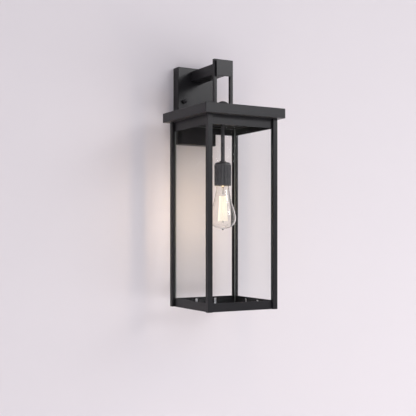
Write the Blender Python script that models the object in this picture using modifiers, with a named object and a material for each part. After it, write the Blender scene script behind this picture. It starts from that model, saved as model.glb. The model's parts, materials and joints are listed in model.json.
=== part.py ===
"""Outdoor wall lantern: a tall glazed cage hung by a square-bar yoke from a box arm on a wall pan.

Units are metres, +Z is up. The origin is the centre of the wall pan's back, on the wall.
+X runs along the wall to the right of a person who faces it, +Y points into the wall.
"""

import math

import bmesh
import bpy
from mathutils import Matrix, Vector

MM = 0.001
GAP = 0.3 * MM  # clearance between pieces that touch
HALF_TURN = math.pi
QUARTER_TURN = math.pi / 2

# Wall pan and its mounting plate
PAN_WIDTH = 110.6 * MM
PAN_HEIGHT = 196.0 * MM
PAN_DEPTH = 26.0 * MM
PAN_SHEET = 1.2 * MM
PAN_EDGE = 1.4 * MM  # outer bend radius, larger than the sheet is thick
PLATE_THICKNESS = 2.5 * MM
PLATE_ARM_WIDTH = 22.0 * MM
PLATE_SPAN = 102.0 * MM
PLATE_CENTRE_Z = 11.3 * MM
STUD_SPACING = 76.0 * MM
STUD_RADIUS = 2.4 * MM
BOX_SLOT_INNER = 33.0 * MM  # centres of the slot's end arcs, from the middle of the plate
BOX_SLOT_OUTER = 44.5 * MM
BOX_SLOT_RADIUS = 2.4 * MM
GROUND_SCREW_X = 28.0 * MM

# Arm
ARM_WIDTH = 36.4 * MM
ARM_HEIGHT = 26.3 * MM
ARM_SHEET = 1.5 * MM
ARM_TOP_Z = 88.6 * MM
ARM_CENTRE_Z = ARM_TOP_Z - ARM_HEIGHT / 2
ARM_CAP_WIDTH = 45.4 * MM
ARM_CAP_HEIGHT = 39.3 * MM
ARM_CAP_SHEET = 1.6 * MM
ARM_CAP_FRONT_Y = -164.2 * MM
ARM_SCREW_X = 11.0 * MM
WIRE_HOLE_RADIUS = 5.5 * MM

# Cage
BODY_WIDTH = 190.5 * MM
BODY_CENTRE_Y = -154.5 * MM
BODY_BOTTOM_Z = -505.1 * MM
POST_LEG = 12.0 * MM
POST_THICKNESS = 6.0 * MM
RAIL_SHEET = 1.5 * MM
RAIL_FLANGE = 12.0 * MM
LOWER_RAIL_HEIGHT = 20.7 * MM
UPPER_RAIL_HEIGHT = 22.9 * MM
GLASS_THICKNESS = 3.0 * MM
GLASS_LAP = 17.0 * MM  # height of pane hidden behind an upper rail
CLIP_OFFSET = 27.0 * MM  # either side of a pane's middle
CLIP_WIDTH = 6.0 * MM
CLIP_SHEET = 0.8 * MM
CLIP_HEIGHT = 15.5 * MM
CLIP_FOOT = 6.0 * MM

# Roof
ROOF_WIDTH = 217.8 * MM
ROOF_TOP_Z = -27.7 * MM
ROOF_HEIGHT = 23.0 * MM
ROOF_SHEET = 1.2 * MM
ROOF_EDGE = 1.4 * MM
CEILING_THICKNESS = 1.5 * MM
FINIAL_RADIUS = 17.0 * MM
FINIAL_HEIGHT = 23.8 * MM

# Yoke
YOKE_BAR = 8.0 * MM
YOKE_WIDTH = 53.0 * MM
YOKE_WALL = 1.2 * MM
STRAP_THICKNESS = 2.5 * MM
STRAP_DEPTH = 22.0 * MM

# Stem, socket and bulb
STEM_RADIUS = 4.85 * MM
STEM_BORE = 2.6 * MM
NUT_RADIUS = 9.0 * MM  # to its corners
NUT_HEIGHT = 4.0 * MM
SOCKET_RADIUS = 20.6 * MM
SOCKET_TOP_Z = -151.6 * MM
SOCKET_BOTTOM_Z = -209.0 * MM
SOCKET_WALL = 2.05 * MM
CORE_TOP_Z = -158.0 * MM
BULB_TIP_Z = -318.2 * MM
BULB_WALL = 0.8 * MM
BASE_BOTTOM_Z = -197.0 * MM
BASE_TOP_Z = -174.0 * MM
THREAD_PITCH = 3.63 * MM
THREAD_DEPTH = 0.9 * MM
BASE_RADIUS = 13.1 * MM
LEAD_RADIUS = 0.85 * MM
LEAD_SPREAD = 1.2 * MM

# Levels that follow
BODY_HALF = BODY_WIDTH / 2
ROOF_BOTTOM_Z = ROOF_TOP_Z - ROOF_HEIGHT
CEILING_TOP_Z = ROOF_BOTTOM_Z + CEILING_THICKNESS
CAGE_TOP_Z = ROOF_BOTTOM_Z - GAP
RAIL_FACE = BODY_HALF - POST_THICKNESS - GAP  # outer face of the rails, from the middle
GLASS_OUTER = RAIL_FACE - RAIL_SHEET - GAP
GLASS_INNER = GLASS_OUTER - GLASS_THICKNESS
STRAP_TOP_Z = ROOF_TOP_Z - ROOF_SHEET - GAP
YOKE_BOTTOM_Z = STRAP_TOP_Z + GAP
YOKE_TOP_Z = ARM_TOP_Z + GAP + YOKE_BAR
LEG_X = YOKE_WIDTH / 2 - YOKE_BAR / 2
LEAD_PORT_Z = CEILING_TOP_Z + 7.2 * MM  # where the leads leave the stem inside the roof
SIDES = ("front", "right", "rear", "left")
CORNERS = ("front_left", "front_right", "rear_right", "rear_left")

ROUND = 16  # sides of a small round piece
FINE_ROUND = 24  # sides of a large round piece
THREAD_ROUND = 20  # sides of a threaded piece


def clear_scene():
    for thing in list(bpy.data.objects):
        bpy.data.objects.remove(thing, do_unlink=True)


def collection(name):
    group = bpy.data.collections.get(name) or bpy.data.collections.new(name)
    if name not in bpy.context.scene.collection.children:
        bpy.context.scene.collection.children.link(group)
    return group


clear_scene()
PARTS = collection("outdoor_wall_lantern")
CUTTERS = collection("cutters")


def finish(name, colour, roughness, metallic=0.0, alpha=1.0):
    """A plain material with the piece's colour."""
    made = bpy.data.materials.new(name)
    made.use_nodes = True
    shader = made.node_tree.nodes["Principled BSDF"]
    shader.inputs["Base Color"].default_value = (*colour, 1.0)
    shader.inputs["Roughness"].default_value = roughness
    shader.inputs["Metallic"].default_value = metallic
    shader.inputs["Alpha"].default_value = alpha
    return made


POWDER_BLACK = ((0.028, 0.028, 0.032), 0.55)
ZINC = ((0.62, 0.63, 0.65), 0.35, 1.0)
BRASS = ((0.72, 0.55, 0.28), 0.35, 1.0)
COPPER = ((0.72, 0.38, 0.24), 0.35, 1.0)
NICKEL = ((0.7, 0.69, 0.66), 0.3, 1.0)
CLEAR_GLASS = ((0.95, 0.97, 0.97), 0.02, 0.0, 0.2)


def place(thing, name, look, location=(0, 0, 0), rotation=(0, 0, 0)):
    """Name an object, give it its own material and put it in the parts collection."""
    thing.name = name
    thing.data.name = name
    thing.location = location
    thing.rotation_euler = rotation
    thing.data.materials.clear()
    thing.data.materials.append(finish(name, *look))
    PARTS.objects.link(thing)
    return thing


def box_mesh(size):
    mesh = bpy.data.meshes.new("box")
    form = bmesh.new()
    bmesh.ops.create_cube(form, size=1.0)
    bmesh.ops.scale(form, vec=size, verts=form.verts)
    form.to_mesh(mesh)
    form.free()
    return bpy.data.objects.new("box", mesh)


def bevel(thing, width, segments=2):
    made = thing.modifiers.new("edges", "BEVEL")
    made.width = width
    made.segments = segments
    made.limit_method = "ANGLE"
    made.angle_limit = math.radians(40)
    made.use_clamp_overlap = True
    return made


def turned(profile, sides=ROUND):
    """A solid turned about Z from a list of (radius, height), top to bottom down the outside."""
    mesh = bpy.data.meshes.new("turned")
    points = [(radius, 0.0, height) for radius, height in profile]
    links = [(i, i + 1) for i in range(len(points) - 1) if profile[i][0] > 0 or profile[i + 1][0] > 0]
    if profile[0][0] > 0 and profile[-1][0] > 0:
        links.append((len(points) - 1, 0))
    mesh.from_pydata(points, links, [])
    thing = bpy.data.objects.new("turned", mesh)
    screw = thing.modifiers.new("turn", "SCREW")
    screw.steps = sides
    screw.render_steps = sides
    screw.use_merge_vertices = True
    screw.merge_threshold = 0.00001
    screw.use_smooth_shade = True
    return thing


def flat_outline(outlines, thickness):
    """A filled 2D curve: the first outline is the edge, the others are holes."""
    curve = bpy.data.curves.new("outline", "CURVE")
    curve.dimensions = "2D"
    curve.fill_mode = "BOTH"
    curve.extrude = thickness / 2
    for outline in outlines:
        spline = curve.splines.new("POLY")
        spline.points.add(len(outline) - 1)
        for point, (x, y) in zip(spline.points, outline):
            point.co = (x, y, 0.0, 1.0)
        spline.use_cyclic_u = True
    return bpy.data.objects.new("outline", curve)


def wire(points, radius, cyclic=False):
    """A round wire or tube along a list of points."""
    curve = bpy.data.curves.new("wire", "CURVE")
    curve.dimensions = "3D"
    curve.bevel_depth = radius
    curve.bevel_resolution = 2
    curve.use_fill_caps = True
    spline = curve.splines.new("POLY")
    spline.points.add(len(points) - 1)
    for point, place_at in zip(spline.points, points):
        point.co = (*place_at, 1.0)
    spline.use_cyclic_u = cyclic
    return bpy.data.objects.new("wire", curve)


def as_mesh(curve_object):
    """Turn a curve object into a closed mesh object that can be cut."""
    PARTS.objects.link(curve_object)
    bpy.context.view_layer.update()
    evaluated = curve_object.evaluated_get(bpy.context.evaluated_depsgraph_get())
    mesh = bpy.data.meshes.new_from_object(evaluated)
    form = bmesh.new()
    form.from_mesh(mesh)
    bmesh.ops.remove_doubles(form, verts=form.verts, dist=0.000001)
    form.to_mesh(mesh)
    form.free()
    solid = bpy.data.objects.new(curve_object.name, mesh)
    solid.matrix_world = curve_object.matrix_world.copy()
    bpy.data.objects.remove(curve_object, do_unlink=True)
    return solid


def cutter(thing, location=(0, 0, 0), rotation=(0, 0, 0)):
    thing.location = location
    thing.rotation_euler = rotation
    thing.hide_render = True
    thing.display_type = "WIRE"
    CUTTERS.objects.link(thing)
    return thing


def cut(thing, tool):
    made = thing.modifiers.new("cut", "BOOLEAN")
    made.operation = "DIFFERENCE"
    made.object = tool
    return made


def round_cutter(radius, length, location, rotation=(0, 0, 0)):
    half = length / 2
    return cutter(turned([(0, half), (radius, half), (radius, -half), (0, -half)]), location, rotation)


def rectangle(width, height, centre=(0, 0)):
    x, y = width / 2, height / 2
    return [(centre[0] + a, centre[1] + b) for a, b in ((-x, -y), (x, -y), (x, y), (-x, y))]


def round_ended_slot(start, end, radius, steps=6):
    """The outline of an upright slot whose end arcs are centred at two heights."""
    outline = []
    for centre_y, first in ((end, 0.0), (start, HALF_TURN)):
        for i in range(steps + 1):
            angle = first + HALF_TURN * i / steps
            outline.append((radius * math.cos(angle), centre_y + radius * math.sin(angle)))
    return outline


def circle_points(radius, count):
    turn = 2 * HALF_TURN / count
    return [(radius * math.cos(i * turn), radius * math.sin(i * turn)) for i in range(count)]


def smooth_curve(points, steps):
    """Points along a Catmull-Rom curve through the given points."""
    ends = [points[0], *points, points[-1]]
    made = []
    for i in range(1, len(ends) - 2):
        a, b, c, d = (Vector(p) for p in ends[i - 1:i + 3])
        for k in range(steps):
            t = k / steps
            made.append(0.5 * (2 * b + (c - a) * t + (2 * a - 5 * b + 4 * c - d) * t ** 2
                               + (3 * b - a - 3 * c + d) * t ** 3))
    made.append(Vector(points[-1]))
    return made


def rounded_route(points, radius, steps=3):
    """A route through the points whose corners are rounded with short arcs."""
    route = [Vector(points[0])]
    for before, corner, after in zip(points, points[1:], points[2:]):
        before, corner, after = Vector(before), Vector(corner), Vector(after)
        start = corner + (before - corner).normalized() * radius
        end = corner + (after - corner).normalized() * radius
        for k in range(steps + 1):
            t = k / steps
            route.append(start.lerp(corner, t).lerp(corner.lerp(end, t), t))
    route.append(Vector(points[-1]))
    return route


# ---------------------------------------------------------------- wall pan and mounting plate

def pressed_pan(name, size, sheet, edge, open_side):
    """A pan pressed from sheet: a box without one side, whose walls grow inwards."""
    thing = box_mesh(size)
    form = bmesh.new()
    form.from_mesh(thing.data)
    lid = [face for face in form.faces if face.normal.dot(Vector(open_side)) > 0.9]
    bmesh.ops.delete(form, geom=lid, context="FACES_ONLY")
    form.to_mesh(thing.data)
    form.free()
    bevel(thing, edge, 2)
    wall = thing.modifiers.new("sheet", "SOLIDIFY")
    wall.thickness = sheet
    wall.offset = -1.0
    wall.use_even_offset = True
    return place(thing, name, POWDER_BLACK)


def outward_cutter(radius, x, z):
    """A round cutter through the pan's front sheet."""
    return round_cutter(radius, 8 * MM, (x, -PAN_DEPTH, z), (QUARTER_TURN, 0, 0))


def make_backplate():
    pan = pressed_pan("backplate", (PAN_WIDTH, PAN_DEPTH, PAN_HEIGHT), PAN_SHEET, PAN_EDGE, (0, 1, 0))
    pan.location = (0, -PAN_DEPTH / 2, 0)
    for side in (-1, 1):
        cut(pan, outward_cutter(STUD_RADIUS + GAP, side * STUD_SPACING / 2, PLATE_CENTRE_Z))
        cut(pan, outward_cutter(2.2 * MM, side * ARM_SCREW_X, ARM_CENTRE_Z))
    cut(pan, outward_cutter(WIRE_HOLE_RADIUS, 0, ARM_CENTRE_Z))


def make_mounting_plate():
    """A cross-shaped plate that screws to the wall box and carries the two studs."""
    root, reach = PLATE_ARM_WIDTH / 2, PLATE_SPAN / 2
    tip = root - 1.5 * MM
    cross = [(-tip, -reach), (tip, -reach), (root, -root), (reach, -tip), (reach, tip), (root, root),
             (tip, reach), (-tip, reach), (-root, root), (-reach, tip), (-reach, -tip), (-root, -root)]
    plate = as_mesh(flat_outline([cross], PLATE_THICKNESS))
    place(plate, "mounting_plate", ZINC, (0, -PLATE_THICKNESS / 2, PLATE_CENTRE_Z), (QUARTER_TURN, 0, 0))
    slot = round_ended_slot(BOX_SLOT_INNER, BOX_SLOT_OUTER, BOX_SLOT_RADIUS)
    for turn in (0, HALF_TURN):
        tool = as_mesh(flat_outline([slot], 4 * PLATE_THICKNESS))
        cut(plate, cutter(tool, (0, 0, PLATE_CENTRE_Z), (QUARTER_TURN, turn, 0)))
    hole, recess, recess_depth = STUD_RADIUS + GAP, 4.5 * MM, 1.4 * MM
    stepped = [(0, 4 * MM), (hole, 4 * MM), (hole, recess_depth), (recess, recess_depth),
               (recess, -MM), (0, -MM)]
    for side in (-1, 1):
        cut(plate, cutter(turned(stepped), (side * STUD_SPACING / 2, 0, PLATE_CENTRE_Z),
                          (QUARTER_TURN, 0, 0)))
    at = (GROUND_SCREW_X, 0, PLATE_CENTRE_Z)
    cut(plate, round_cutter(2.3 * MM, 8 * MM, at, (QUARTER_TURN, 0, 0)))


def make_studs_and_cap_nuts():
    head, head_height, length = 4.2 * MM, 0.9 * MM, 31.2 * MM
    stud_profile = [(0, length), (1.9 * MM, length), (STUD_RADIUS, length - 0.6 * MM),
                    (STUD_RADIUS, head_height), (head, head_height), (head, 0), (0, 0)]
    bore, depth = STUD_RADIUS + GAP, 6.2 * MM
    nut_profile = [(0, 8.8), (2.2, 8.5), (4.1, 7.5), (5.2, 5.9), (5.5, 4.3), (5.2, 2.7),
                   (4.4, 1.3), (4.4, 0)]
    nut_profile = [(r * MM, h * MM) for r, h in nut_profile]
    nut_profile += [(bore, 0), (bore, depth), (0, depth)]
    for side, word in ((-1, "left"), (1, "right")):
        x = side * STUD_SPACING / 2
        place(turned(stud_profile), f"mounting_stud_{word}", ZINC, (x, -GAP, PLATE_CENTRE_Z),
              (QUARTER_TURN, 0, 0))
        place(turned(nut_profile), f"cap_nut_{word}", POWDER_BLACK,
              (x, -PAN_DEPTH - GAP, PLATE_CENTRE_Z), (QUARTER_TURN, 0, 0))


def make_ground_screw():
    profile = [(0, 2.6), (2.6, 2.4), (4.0, 1.4), (4.0, 0), (1.9, 0), (1.9, -2.4), (0, -2.4)]
    place(turned([(r * MM, h * MM) for r, h in profile]), "ground_screw",
          ((0.05, 0.32, 0.12), 0.4, 1.0), (GROUND_SCREW_X, -PLATE_THICKNESS - GAP, PLATE_CENTRE_Z),
          (QUARTER_TURN, 0, 0))


# ---------------------------------------------------------------- arm and yoke

ARM_REAR_Y = -PAN_DEPTH - GAP
ARM_FRONT_Y = ARM_CAP_FRONT_Y + ARM_CAP_SHEET + GAP
ARM_LENGTH = ARM_REAR_Y - ARM_FRONT_Y
ARM_INSIDE = (ARM_WIDTH - 2 * ARM_SHEET, ARM_HEIGHT - 2 * ARM_SHEET)
LEAD_DROP_Y = BODY_CENTRE_Y  # where the leads pass from the yoke down into the arm
LEAD_HOLE_RADIUS = 2.6 * MM


def make_arm():
    shell = flat_outline([rectangle(ARM_WIDTH, ARM_HEIGHT), rectangle(*ARM_INSIDE)], ARM_LENGTH)
    tube = as_mesh(shell)
    bevel(tube, 0.6 * MM, 2)
    place(tube, "arm_tube", POWDER_BLACK, (0, (ARM_REAR_Y + ARM_FRONT_Y) / 2, ARM_CENTRE_Z),
          (QUARTER_TURN, 0, 0))
    cut(tube, round_cutter(LEAD_HOLE_RADIUS, 6 * MM, (0, LEAD_DROP_Y, ARM_TOP_Z)))

    block_length = 15.0 * MM
    block = box_mesh((ARM_INSIDE[0] - 2 * GAP, block_length, ARM_INSIDE[1] - 2 * GAP))
    block_y = ARM_REAR_Y - block_length / 2
    place(block, "arm_anchor_block", ((0.55, 0.56, 0.57), 0.5, 1.0), (0, block_y, ARM_CENTRE_Z))
    cut(block, round_cutter(WIRE_HOLE_RADIUS, 2 * block_length, (0, block_y, ARM_CENTRE_Z),
                            (QUARTER_TURN, 0, 0)))
    shank, head = 1.9 * MM, 3.8 * MM
    for side, word in ((-1, "left"), (1, "right")):
        x = side * ARM_SCREW_X
        cut(block, round_cutter(shank + GAP, 2 * block_length, (x, block_y, ARM_CENTRE_Z),
                                (QUARTER_TURN, 0, 0)))
        profile = [(0, 13.5 * MM), (shank, 13.5 * MM), (shank, 0), (head, 0), (head, -1.6 * MM),
                   (2.6 * MM, -2.6 * MM), (0, -2.6 * MM)]
        place(turned(profile, 12), f"arm_screw_{word}", ZINC,
              (x, -PAN_DEPTH + PAN_SHEET + GAP, ARM_CENTRE_Z), (QUARTER_TURN, 0, 0))


def make_arm_end_cap():
    """A square cap plate whose plug fits the end of the arm."""
    plug_length = 4.0 * MM
    plug_width, plug_height = ARM_INSIDE[0] - 2 * GAP, ARM_INSIDE[1] - 2 * GAP
    cap = box_mesh((ARM_CAP_WIDTH, ARM_CAP_SHEET, ARM_CAP_HEIGHT))
    form = bmesh.new()
    form.from_mesh(cap.data)
    back = max(form.faces, key=lambda face: face.normal.y)
    inset = bmesh.ops.extrude_discrete_faces(form, faces=[back])["faces"]
    corners = list(inset[0].verts)
    bmesh.ops.scale(form, verts=corners,
                    vec=(plug_width / ARM_CAP_WIDTH, 1.0, plug_height / ARM_CAP_HEIGHT))
    plug = bmesh.ops.extrude_discrete_faces(form, faces=inset)["faces"]
    bmesh.ops.translate(form, verts=list(plug[0].verts), vec=(0, plug_length, 0))
    form.to_mesh(cap.data)
    form.free()
    bevel(cap, 0.5 * MM, 2)
    place(cap, "arm_end_cap", POWDER_BLACK,
          (0, ARM_CAP_FRONT_Y + ARM_CAP_SHEET / 2, ARM_CENTRE_Z))


def upside_down_u(outer_width, bar, top, bottom):
    """The outline of an upside-down U of square bar."""
    x, inner = outer_width / 2, outer_width / 2 - bar
    return [(-x, bottom), (-x, top), (x, top), (x, bottom),
            (inner, bottom), (inner, top - bar), (-inner, top - bar), (-inner, bottom)]


def make_yoke():
    """Square tube bent over the arm; its bore carries the leads down to the roof."""
    outline = upside_down_u(YOKE_WIDTH, YOKE_BAR, YOKE_TOP_Z, YOKE_BOTTOM_Z)
    yoke = as_mesh(flat_outline([outline], YOKE_BAR))
    bevel(yoke, 0.5 * MM, 2)
    place(yoke, "yoke", POWDER_BLACK, (0, BODY_CENTRE_Y, 0), (QUARTER_TURN, 0, 0))
    bore_bar = YOKE_BAR - 2 * YOKE_WALL
    bore = upside_down_u(YOKE_WIDTH - 2 * YOKE_WALL, bore_bar, YOKE_TOP_Z - YOKE_WALL,
                         YOKE_BOTTOM_Z - 5 * MM)
    cut(yoke, cutter(as_mesh(flat_outline([bore], bore_bar)), (0, BODY_CENTRE_Y, 0),
                     (QUARTER_TURN, 0, 0)))
    cut(yoke, round_cutter(LEAD_HOLE_RADIUS, 4 * MM, (0, LEAD_DROP_Y, YOKE_TOP_Z - YOKE_BAR)))

    strap = box_mesh((YOKE_WIDTH + 8 * MM, STRAP_DEPTH, STRAP_THICKNESS))
    place(strap, "yoke_strap", ZINC, (0, BODY_CENTRE_Y, STRAP_TOP_Z - STRAP_THICKNESS / 2))
    cut(strap, round_cutter(STEM_RADIUS + GAP, 10 * MM, (0, BODY_CENTRE_Y, STRAP_TOP_Z)))
    cut(strap, round_cutter(LEAD_HOLE_RADIUS, 10 * MM, (LEG_X, BODY_CENTRE_Y, STRAP_TOP_Z)))


# ---------------------------------------------------------------- roof and ceiling

def make_roof():
    roof = pressed_pan("roof_cover", (ROOF_WIDTH, ROOF_WIDTH, ROOF_HEIGHT), ROOF_SHEET, ROOF_EDGE,
                       (0, 0, -1))
    roof.location = (0, BODY_CENTRE_Y, ROOF_TOP_Z - ROOF_HEIGHT / 2)
    cut(roof, round_cutter(STEM_RADIUS + GAP, 10 * MM, (0, BODY_CENTRE_Y, ROOF_TOP_Z)))
    hole = YOKE_BAR + 2 * GAP
    for side in (-1, 1):
        cut(roof, cutter(box_mesh((hole, hole, 10 * MM)), (side * LEG_X, BODY_CENTRE_Y, ROOF_TOP_Z)))

    width = ROOF_WIDTH - 2 * ROOF_SHEET - 2 * GAP
    ceiling = box_mesh((width, width, CEILING_THICKNESS))
    place(ceiling, "ceiling_plate", POWDER_BLACK,
          (0, BODY_CENTRE_Y, ROOF_BOTTOM_Z + CEILING_THICKNESS / 2))
    cut(ceiling, round_cutter(STEM_RADIUS + GAP, 10 * MM, (0, BODY_CENTRE_Y, ROOF_BOTTOM_Z)))


def make_finial():
    """A domed nut that screws down on the stem and clamps the roof."""
    bore, depth = STEM_RADIUS + GAP, 14.0 * MM
    dome = []
    dome_height = 15.0 * MM
    for i in range(7):
        angle = QUARTER_TURN * (1 - i / 6)
        dome.append((FINIAL_RADIUS * math.cos(angle) if i else 0.0,
                     FINIAL_HEIGHT - dome_height * (1 - math.sin(angle))))
    skirt = [(FINIAL_RADIUS, 1.0 * MM), (FINIAL_RADIUS - 1.0 * MM, 0)]
    profile = dome + skirt + [(bore, 0), (bore, depth), (0, depth)]
    place(turned(profile, FINE_ROUND), "roof_finial", POWDER_BLACK,
          (0, BODY_CENTRE_Y, ROOF_TOP_Z + GAP))


def hex_nut(name, bottom_z):
    """A thin six-sided nut on the stem."""
    hexagon = circle_points(NUT_RADIUS, 6)
    bore = circle_points(STEM_RADIUS + GAP, ROUND)
    solid = as_mesh(flat_outline([hexagon, bore], NUT_HEIGHT))
    place(solid, name, ZINC, (0, BODY_CENTRE_Y, bottom_z + NUT_HEIGHT / 2))


def make_stem():
    top = ROOF_TOP_Z + 13.0 * MM
    bottom = SOCKET_TOP_Z - 5.0 * MM
    profile = [(STEM_RADIUS, top), (STEM_RADIUS, bottom), (STEM_BORE, bottom), (STEM_BORE, top)]
    stem = place(turned(profile, ROUND), "stem_tube", POWDER_BLACK, (0, BODY_CENTRE_Y, 0))
    port = (STEM_RADIUS, BODY_CENTRE_Y, LEAD_PORT_Z)
    cut(stem, round_cutter(2.4 * MM, 2 * STEM_RADIUS, port, (0, QUARTER_TURN, 0)))
    hex_nut("strap_nut", STRAP_TOP_Z - STRAP_THICKNESS - GAP - NUT_HEIGHT)
    hex_nut("ceiling_nut_upper", CEILING_TOP_Z + GAP)
    hex_nut("ceiling_nut_lower", ROOF_BOTTOM_Z - GAP - NUT_HEIGHT)


# ---------------------------------------------------------------- cage

def turned_about_body(k):
    return (0, 0, k * QUARTER_TURN)


def make_posts():
    """Four L-section posts that wrap the corners of the two rail frames."""
    h, b, t = BODY_HALF, POST_LEG, POST_THICKNESS
    section = [(-h, -h), (-h + b, -h), (-h + b, -h + t), (-h + t, -h + t), (-h + t, -h + b), (-h, -h + b)]
    length = CAGE_TOP_Z - BODY_BOTTOM_Z
    for k, corner in enumerate(CORNERS):
        post = as_mesh(flat_outline([section], length))
        bevel(post, 0.5 * MM, 2)
        place(post, f"post_{corner}", POWDER_BLACK,
              (0, BODY_CENTRE_Y, BODY_BOTTOM_Z + length / 2), turned_about_body(k))


def make_rail(name, section, bottom_z, k):
    """A mitred rail of L section; the section's first number is the distance from the middle."""
    rail = as_mesh(flat_outline([section], 2 * BODY_HALF))
    for vertex in rail.data.vertices:
        reach = abs(vertex.co.x) - GAP
        vertex.co.z = math.copysign(reach, vertex.co.z)
    bevel(rail, 0.3 * MM, 1)
    place(rail, name, POWDER_BLACK, (0, BODY_CENTRE_Y, bottom_z),
          (QUARTER_TURN, 0, QUARTER_TURN + k * QUARTER_TURN))


def make_rails():
    face, web, flange = -RAIL_FACE, -RAIL_FACE + RAIL_SHEET, -RAIL_FACE + RAIL_FLANGE
    low, high = LOWER_RAIL_HEIGHT, UPPER_RAIL_HEIGHT
    lower = [(face, 0), (flange, 0), (flange, RAIL_SHEET), (web, RAIL_SHEET), (web, low), (face, low)]
    upper = [(face, 0), (web, 0), (web, high - RAIL_SHEET), (flange, high - RAIL_SHEET),
             (flange, high), (face, high)]
    for k, side in enumerate(SIDES):
        make_rail(f"lower_rail_{side}", lower, BODY_BOTTOM_Z, k)
        make_rail(f"upper_rail_{side}", upper, CAGE_TOP_Z - high, k)


def make_panes():
    """Four clear panes; the front and rear ones run past the edges of the side ones."""
    bottom = BODY_BOTTOM_Z + RAIL_SHEET + GAP
    top = CAGE_TOP_Z - UPPER_RAIL_HEIGHT + GLASS_LAP
    middle = (GLASS_OUTER + GLASS_INNER) / 2
    for k, side in enumerate(SIDES):
        width = 2 * GLASS_OUTER if k % 2 == 0 else 2 * (GLASS_INNER - GAP)
        pane = box_mesh((width, GLASS_THICKNESS, top - bottom))
        turn = Matrix.Rotation(k * QUARTER_TURN, 4, "Z")
        spot = turn @ Vector((0, -middle, 0))
        place(pane, f"glass_pane_{side}", CLEAR_GLASS,
              (spot.x, BODY_CENTRE_Y + spot.y, (top + bottom) / 2), turned_about_body(k))


def make_clips():
    """Bent clips that stand on the lower rails and press the panes against them."""
    foot_z = BODY_BOTTOM_Z + RAIL_SHEET + GAP
    back = -(GLASS_INNER - GAP)
    section = [(back, 0), (back + CLIP_FOOT, 0), (back + CLIP_FOOT, CLIP_SHEET),
               (back + CLIP_SHEET, CLIP_SHEET), (back + CLIP_SHEET, CLIP_HEIGHT - 2 * MM),
               (back + 2.2 * MM, CLIP_HEIGHT - 0.8 * MM), (back + 1.6 * MM, CLIP_HEIGHT),
               (back, CLIP_HEIGHT - 2 * MM)]
    for k, side in enumerate(SIDES):
        for offset, word in ((-CLIP_OFFSET, "a"), (CLIP_OFFSET, "b")):
            clip = as_mesh(flat_outline([section], CLIP_WIDTH))
            turn = Matrix.Rotation(k * QUARTER_TURN, 4, "Z")
            spot = turn @ Vector((offset, 0, 0))
            place(clip, f"glass_clip_{side}_{word}", ZINC,
                  (spot.x, BODY_CENTRE_Y + spot.y, foot_z),
                  (QUARTER_TURN, 0, QUARTER_TURN + k * QUARTER_TURN))


# ---------------------------------------------------------------- socket and bulb

def thread_profile(radius, start_z, end_z):
    """Points of a rolled thread, four to a pitch, from one height to another."""
    count = round(abs(end_z - start_z) / THREAD_PITCH * 4)
    points = []
    for i in range(count + 1):
        z = start_z + (end_z - start_z) * i / count
        wave = math.cos(2 * math.pi * (z - BASE_BOTTOM_Z) / THREAD_PITCH)
        points.append((radius - THREAD_DEPTH / 2 * (1 - wave), z))
    return points


SHELL_TOP_Z = BASE_TOP_Z + 4.0 * MM
CORE_FLOOR_Z = SHELL_TOP_Z + 3.0 * MM


def make_socket():
    r, top, bottom = SOCKET_RADIUS, SOCKET_TOP_Z, SOCKET_BOTTOM_Z
    wall, neck, hole = SOCKET_WALL, 8.2 * MM, STEM_RADIUS + GAP
    shoulder = 8.0 * MM
    outer = [(neck, top + 2.6 * MM), (neck, top)]
    inner = []
    for i in range(6):
        angle = QUARTER_TURN * i / 5
        across, down = shoulder * math.sin(angle), shoulder * (1 - math.cos(angle))
        outer.append((r - shoulder + across, top - 0.6 * MM - down))
        inner.append((r - shoulder + across - wall * math.sin(angle),
                      top - 0.6 * MM - down - wall * math.cos(angle)))
    outer.append((r, bottom))
    inner.append((r - wall, bottom))
    profile = outer + inner[::-1] + [(hole, top - 2.2 * MM), (hole, top + 2.6 * MM)]
    place(turned(profile, FINE_ROUND), "socket_cup", POWDER_BLACK, (0, BODY_CENTRE_Y, 0))

    core_r, bore, mouth = r - wall - GAP, 14.9 * MM, 16.6 * MM
    core_top, wire_way = CORE_TOP_Z - 2.0 * MM, 3.2 * MM
    core = [(10.0 * MM, core_top), (core_r - 1.6 * MM, core_top - 5.5 * MM), (core_r, core_top - 9.0 * MM),
            (core_r, bottom + 2.0 * MM), (mouth, bottom + 2.0 * MM), (mouth, BASE_BOTTOM_Z - 2.0 * MM),
            (bore, BASE_BOTTOM_Z), (bore, CORE_FLOOR_Z), (wire_way, CORE_FLOOR_Z), (wire_way, core_top)]
    place(turned(core, FINE_ROUND), "socket_core", ((0.82, 0.8, 0.74), 0.45), (0, BODY_CENTRE_Y, 0))

    outside = bore - GAP
    thread = thread_profile(BASE_RADIUS + GAP, BASE_BOTTOM_Z + 1.0 * MM, SHELL_TOP_Z)
    shell = [(outside, SHELL_TOP_Z), (outside, BASE_BOTTOM_Z + 1.0 * MM), *thread]
    place(turned(shell, THREAD_ROUND), "socket_screw_shell", BRASS, (0, BODY_CENTRE_Y, 0))

    half, rise = 3.0 * MM, 0.5 * MM
    low = BASE_TOP_Z + 6.0 * MM
    strip = [(-9.0 * MM, CORE_FLOOR_Z - GAP), (-9.0 * MM, CORE_FLOOR_Z - GAP - rise),
             (-5.0 * MM, CORE_FLOOR_Z - GAP - rise), (-1.0 * MM, low), (2.0 * MM, low),
             (2.0 * MM, low + rise), (-0.6 * MM, low + rise), (-4.6 * MM, CORE_FLOOR_Z - GAP)]
    contact = flat_outline([strip], 2 * half)
    place(as_mesh(contact), "socket_contact", BRASS, (0, BODY_CENTRE_Y, 0), (QUARTER_TURN, 0, 0))


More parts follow.
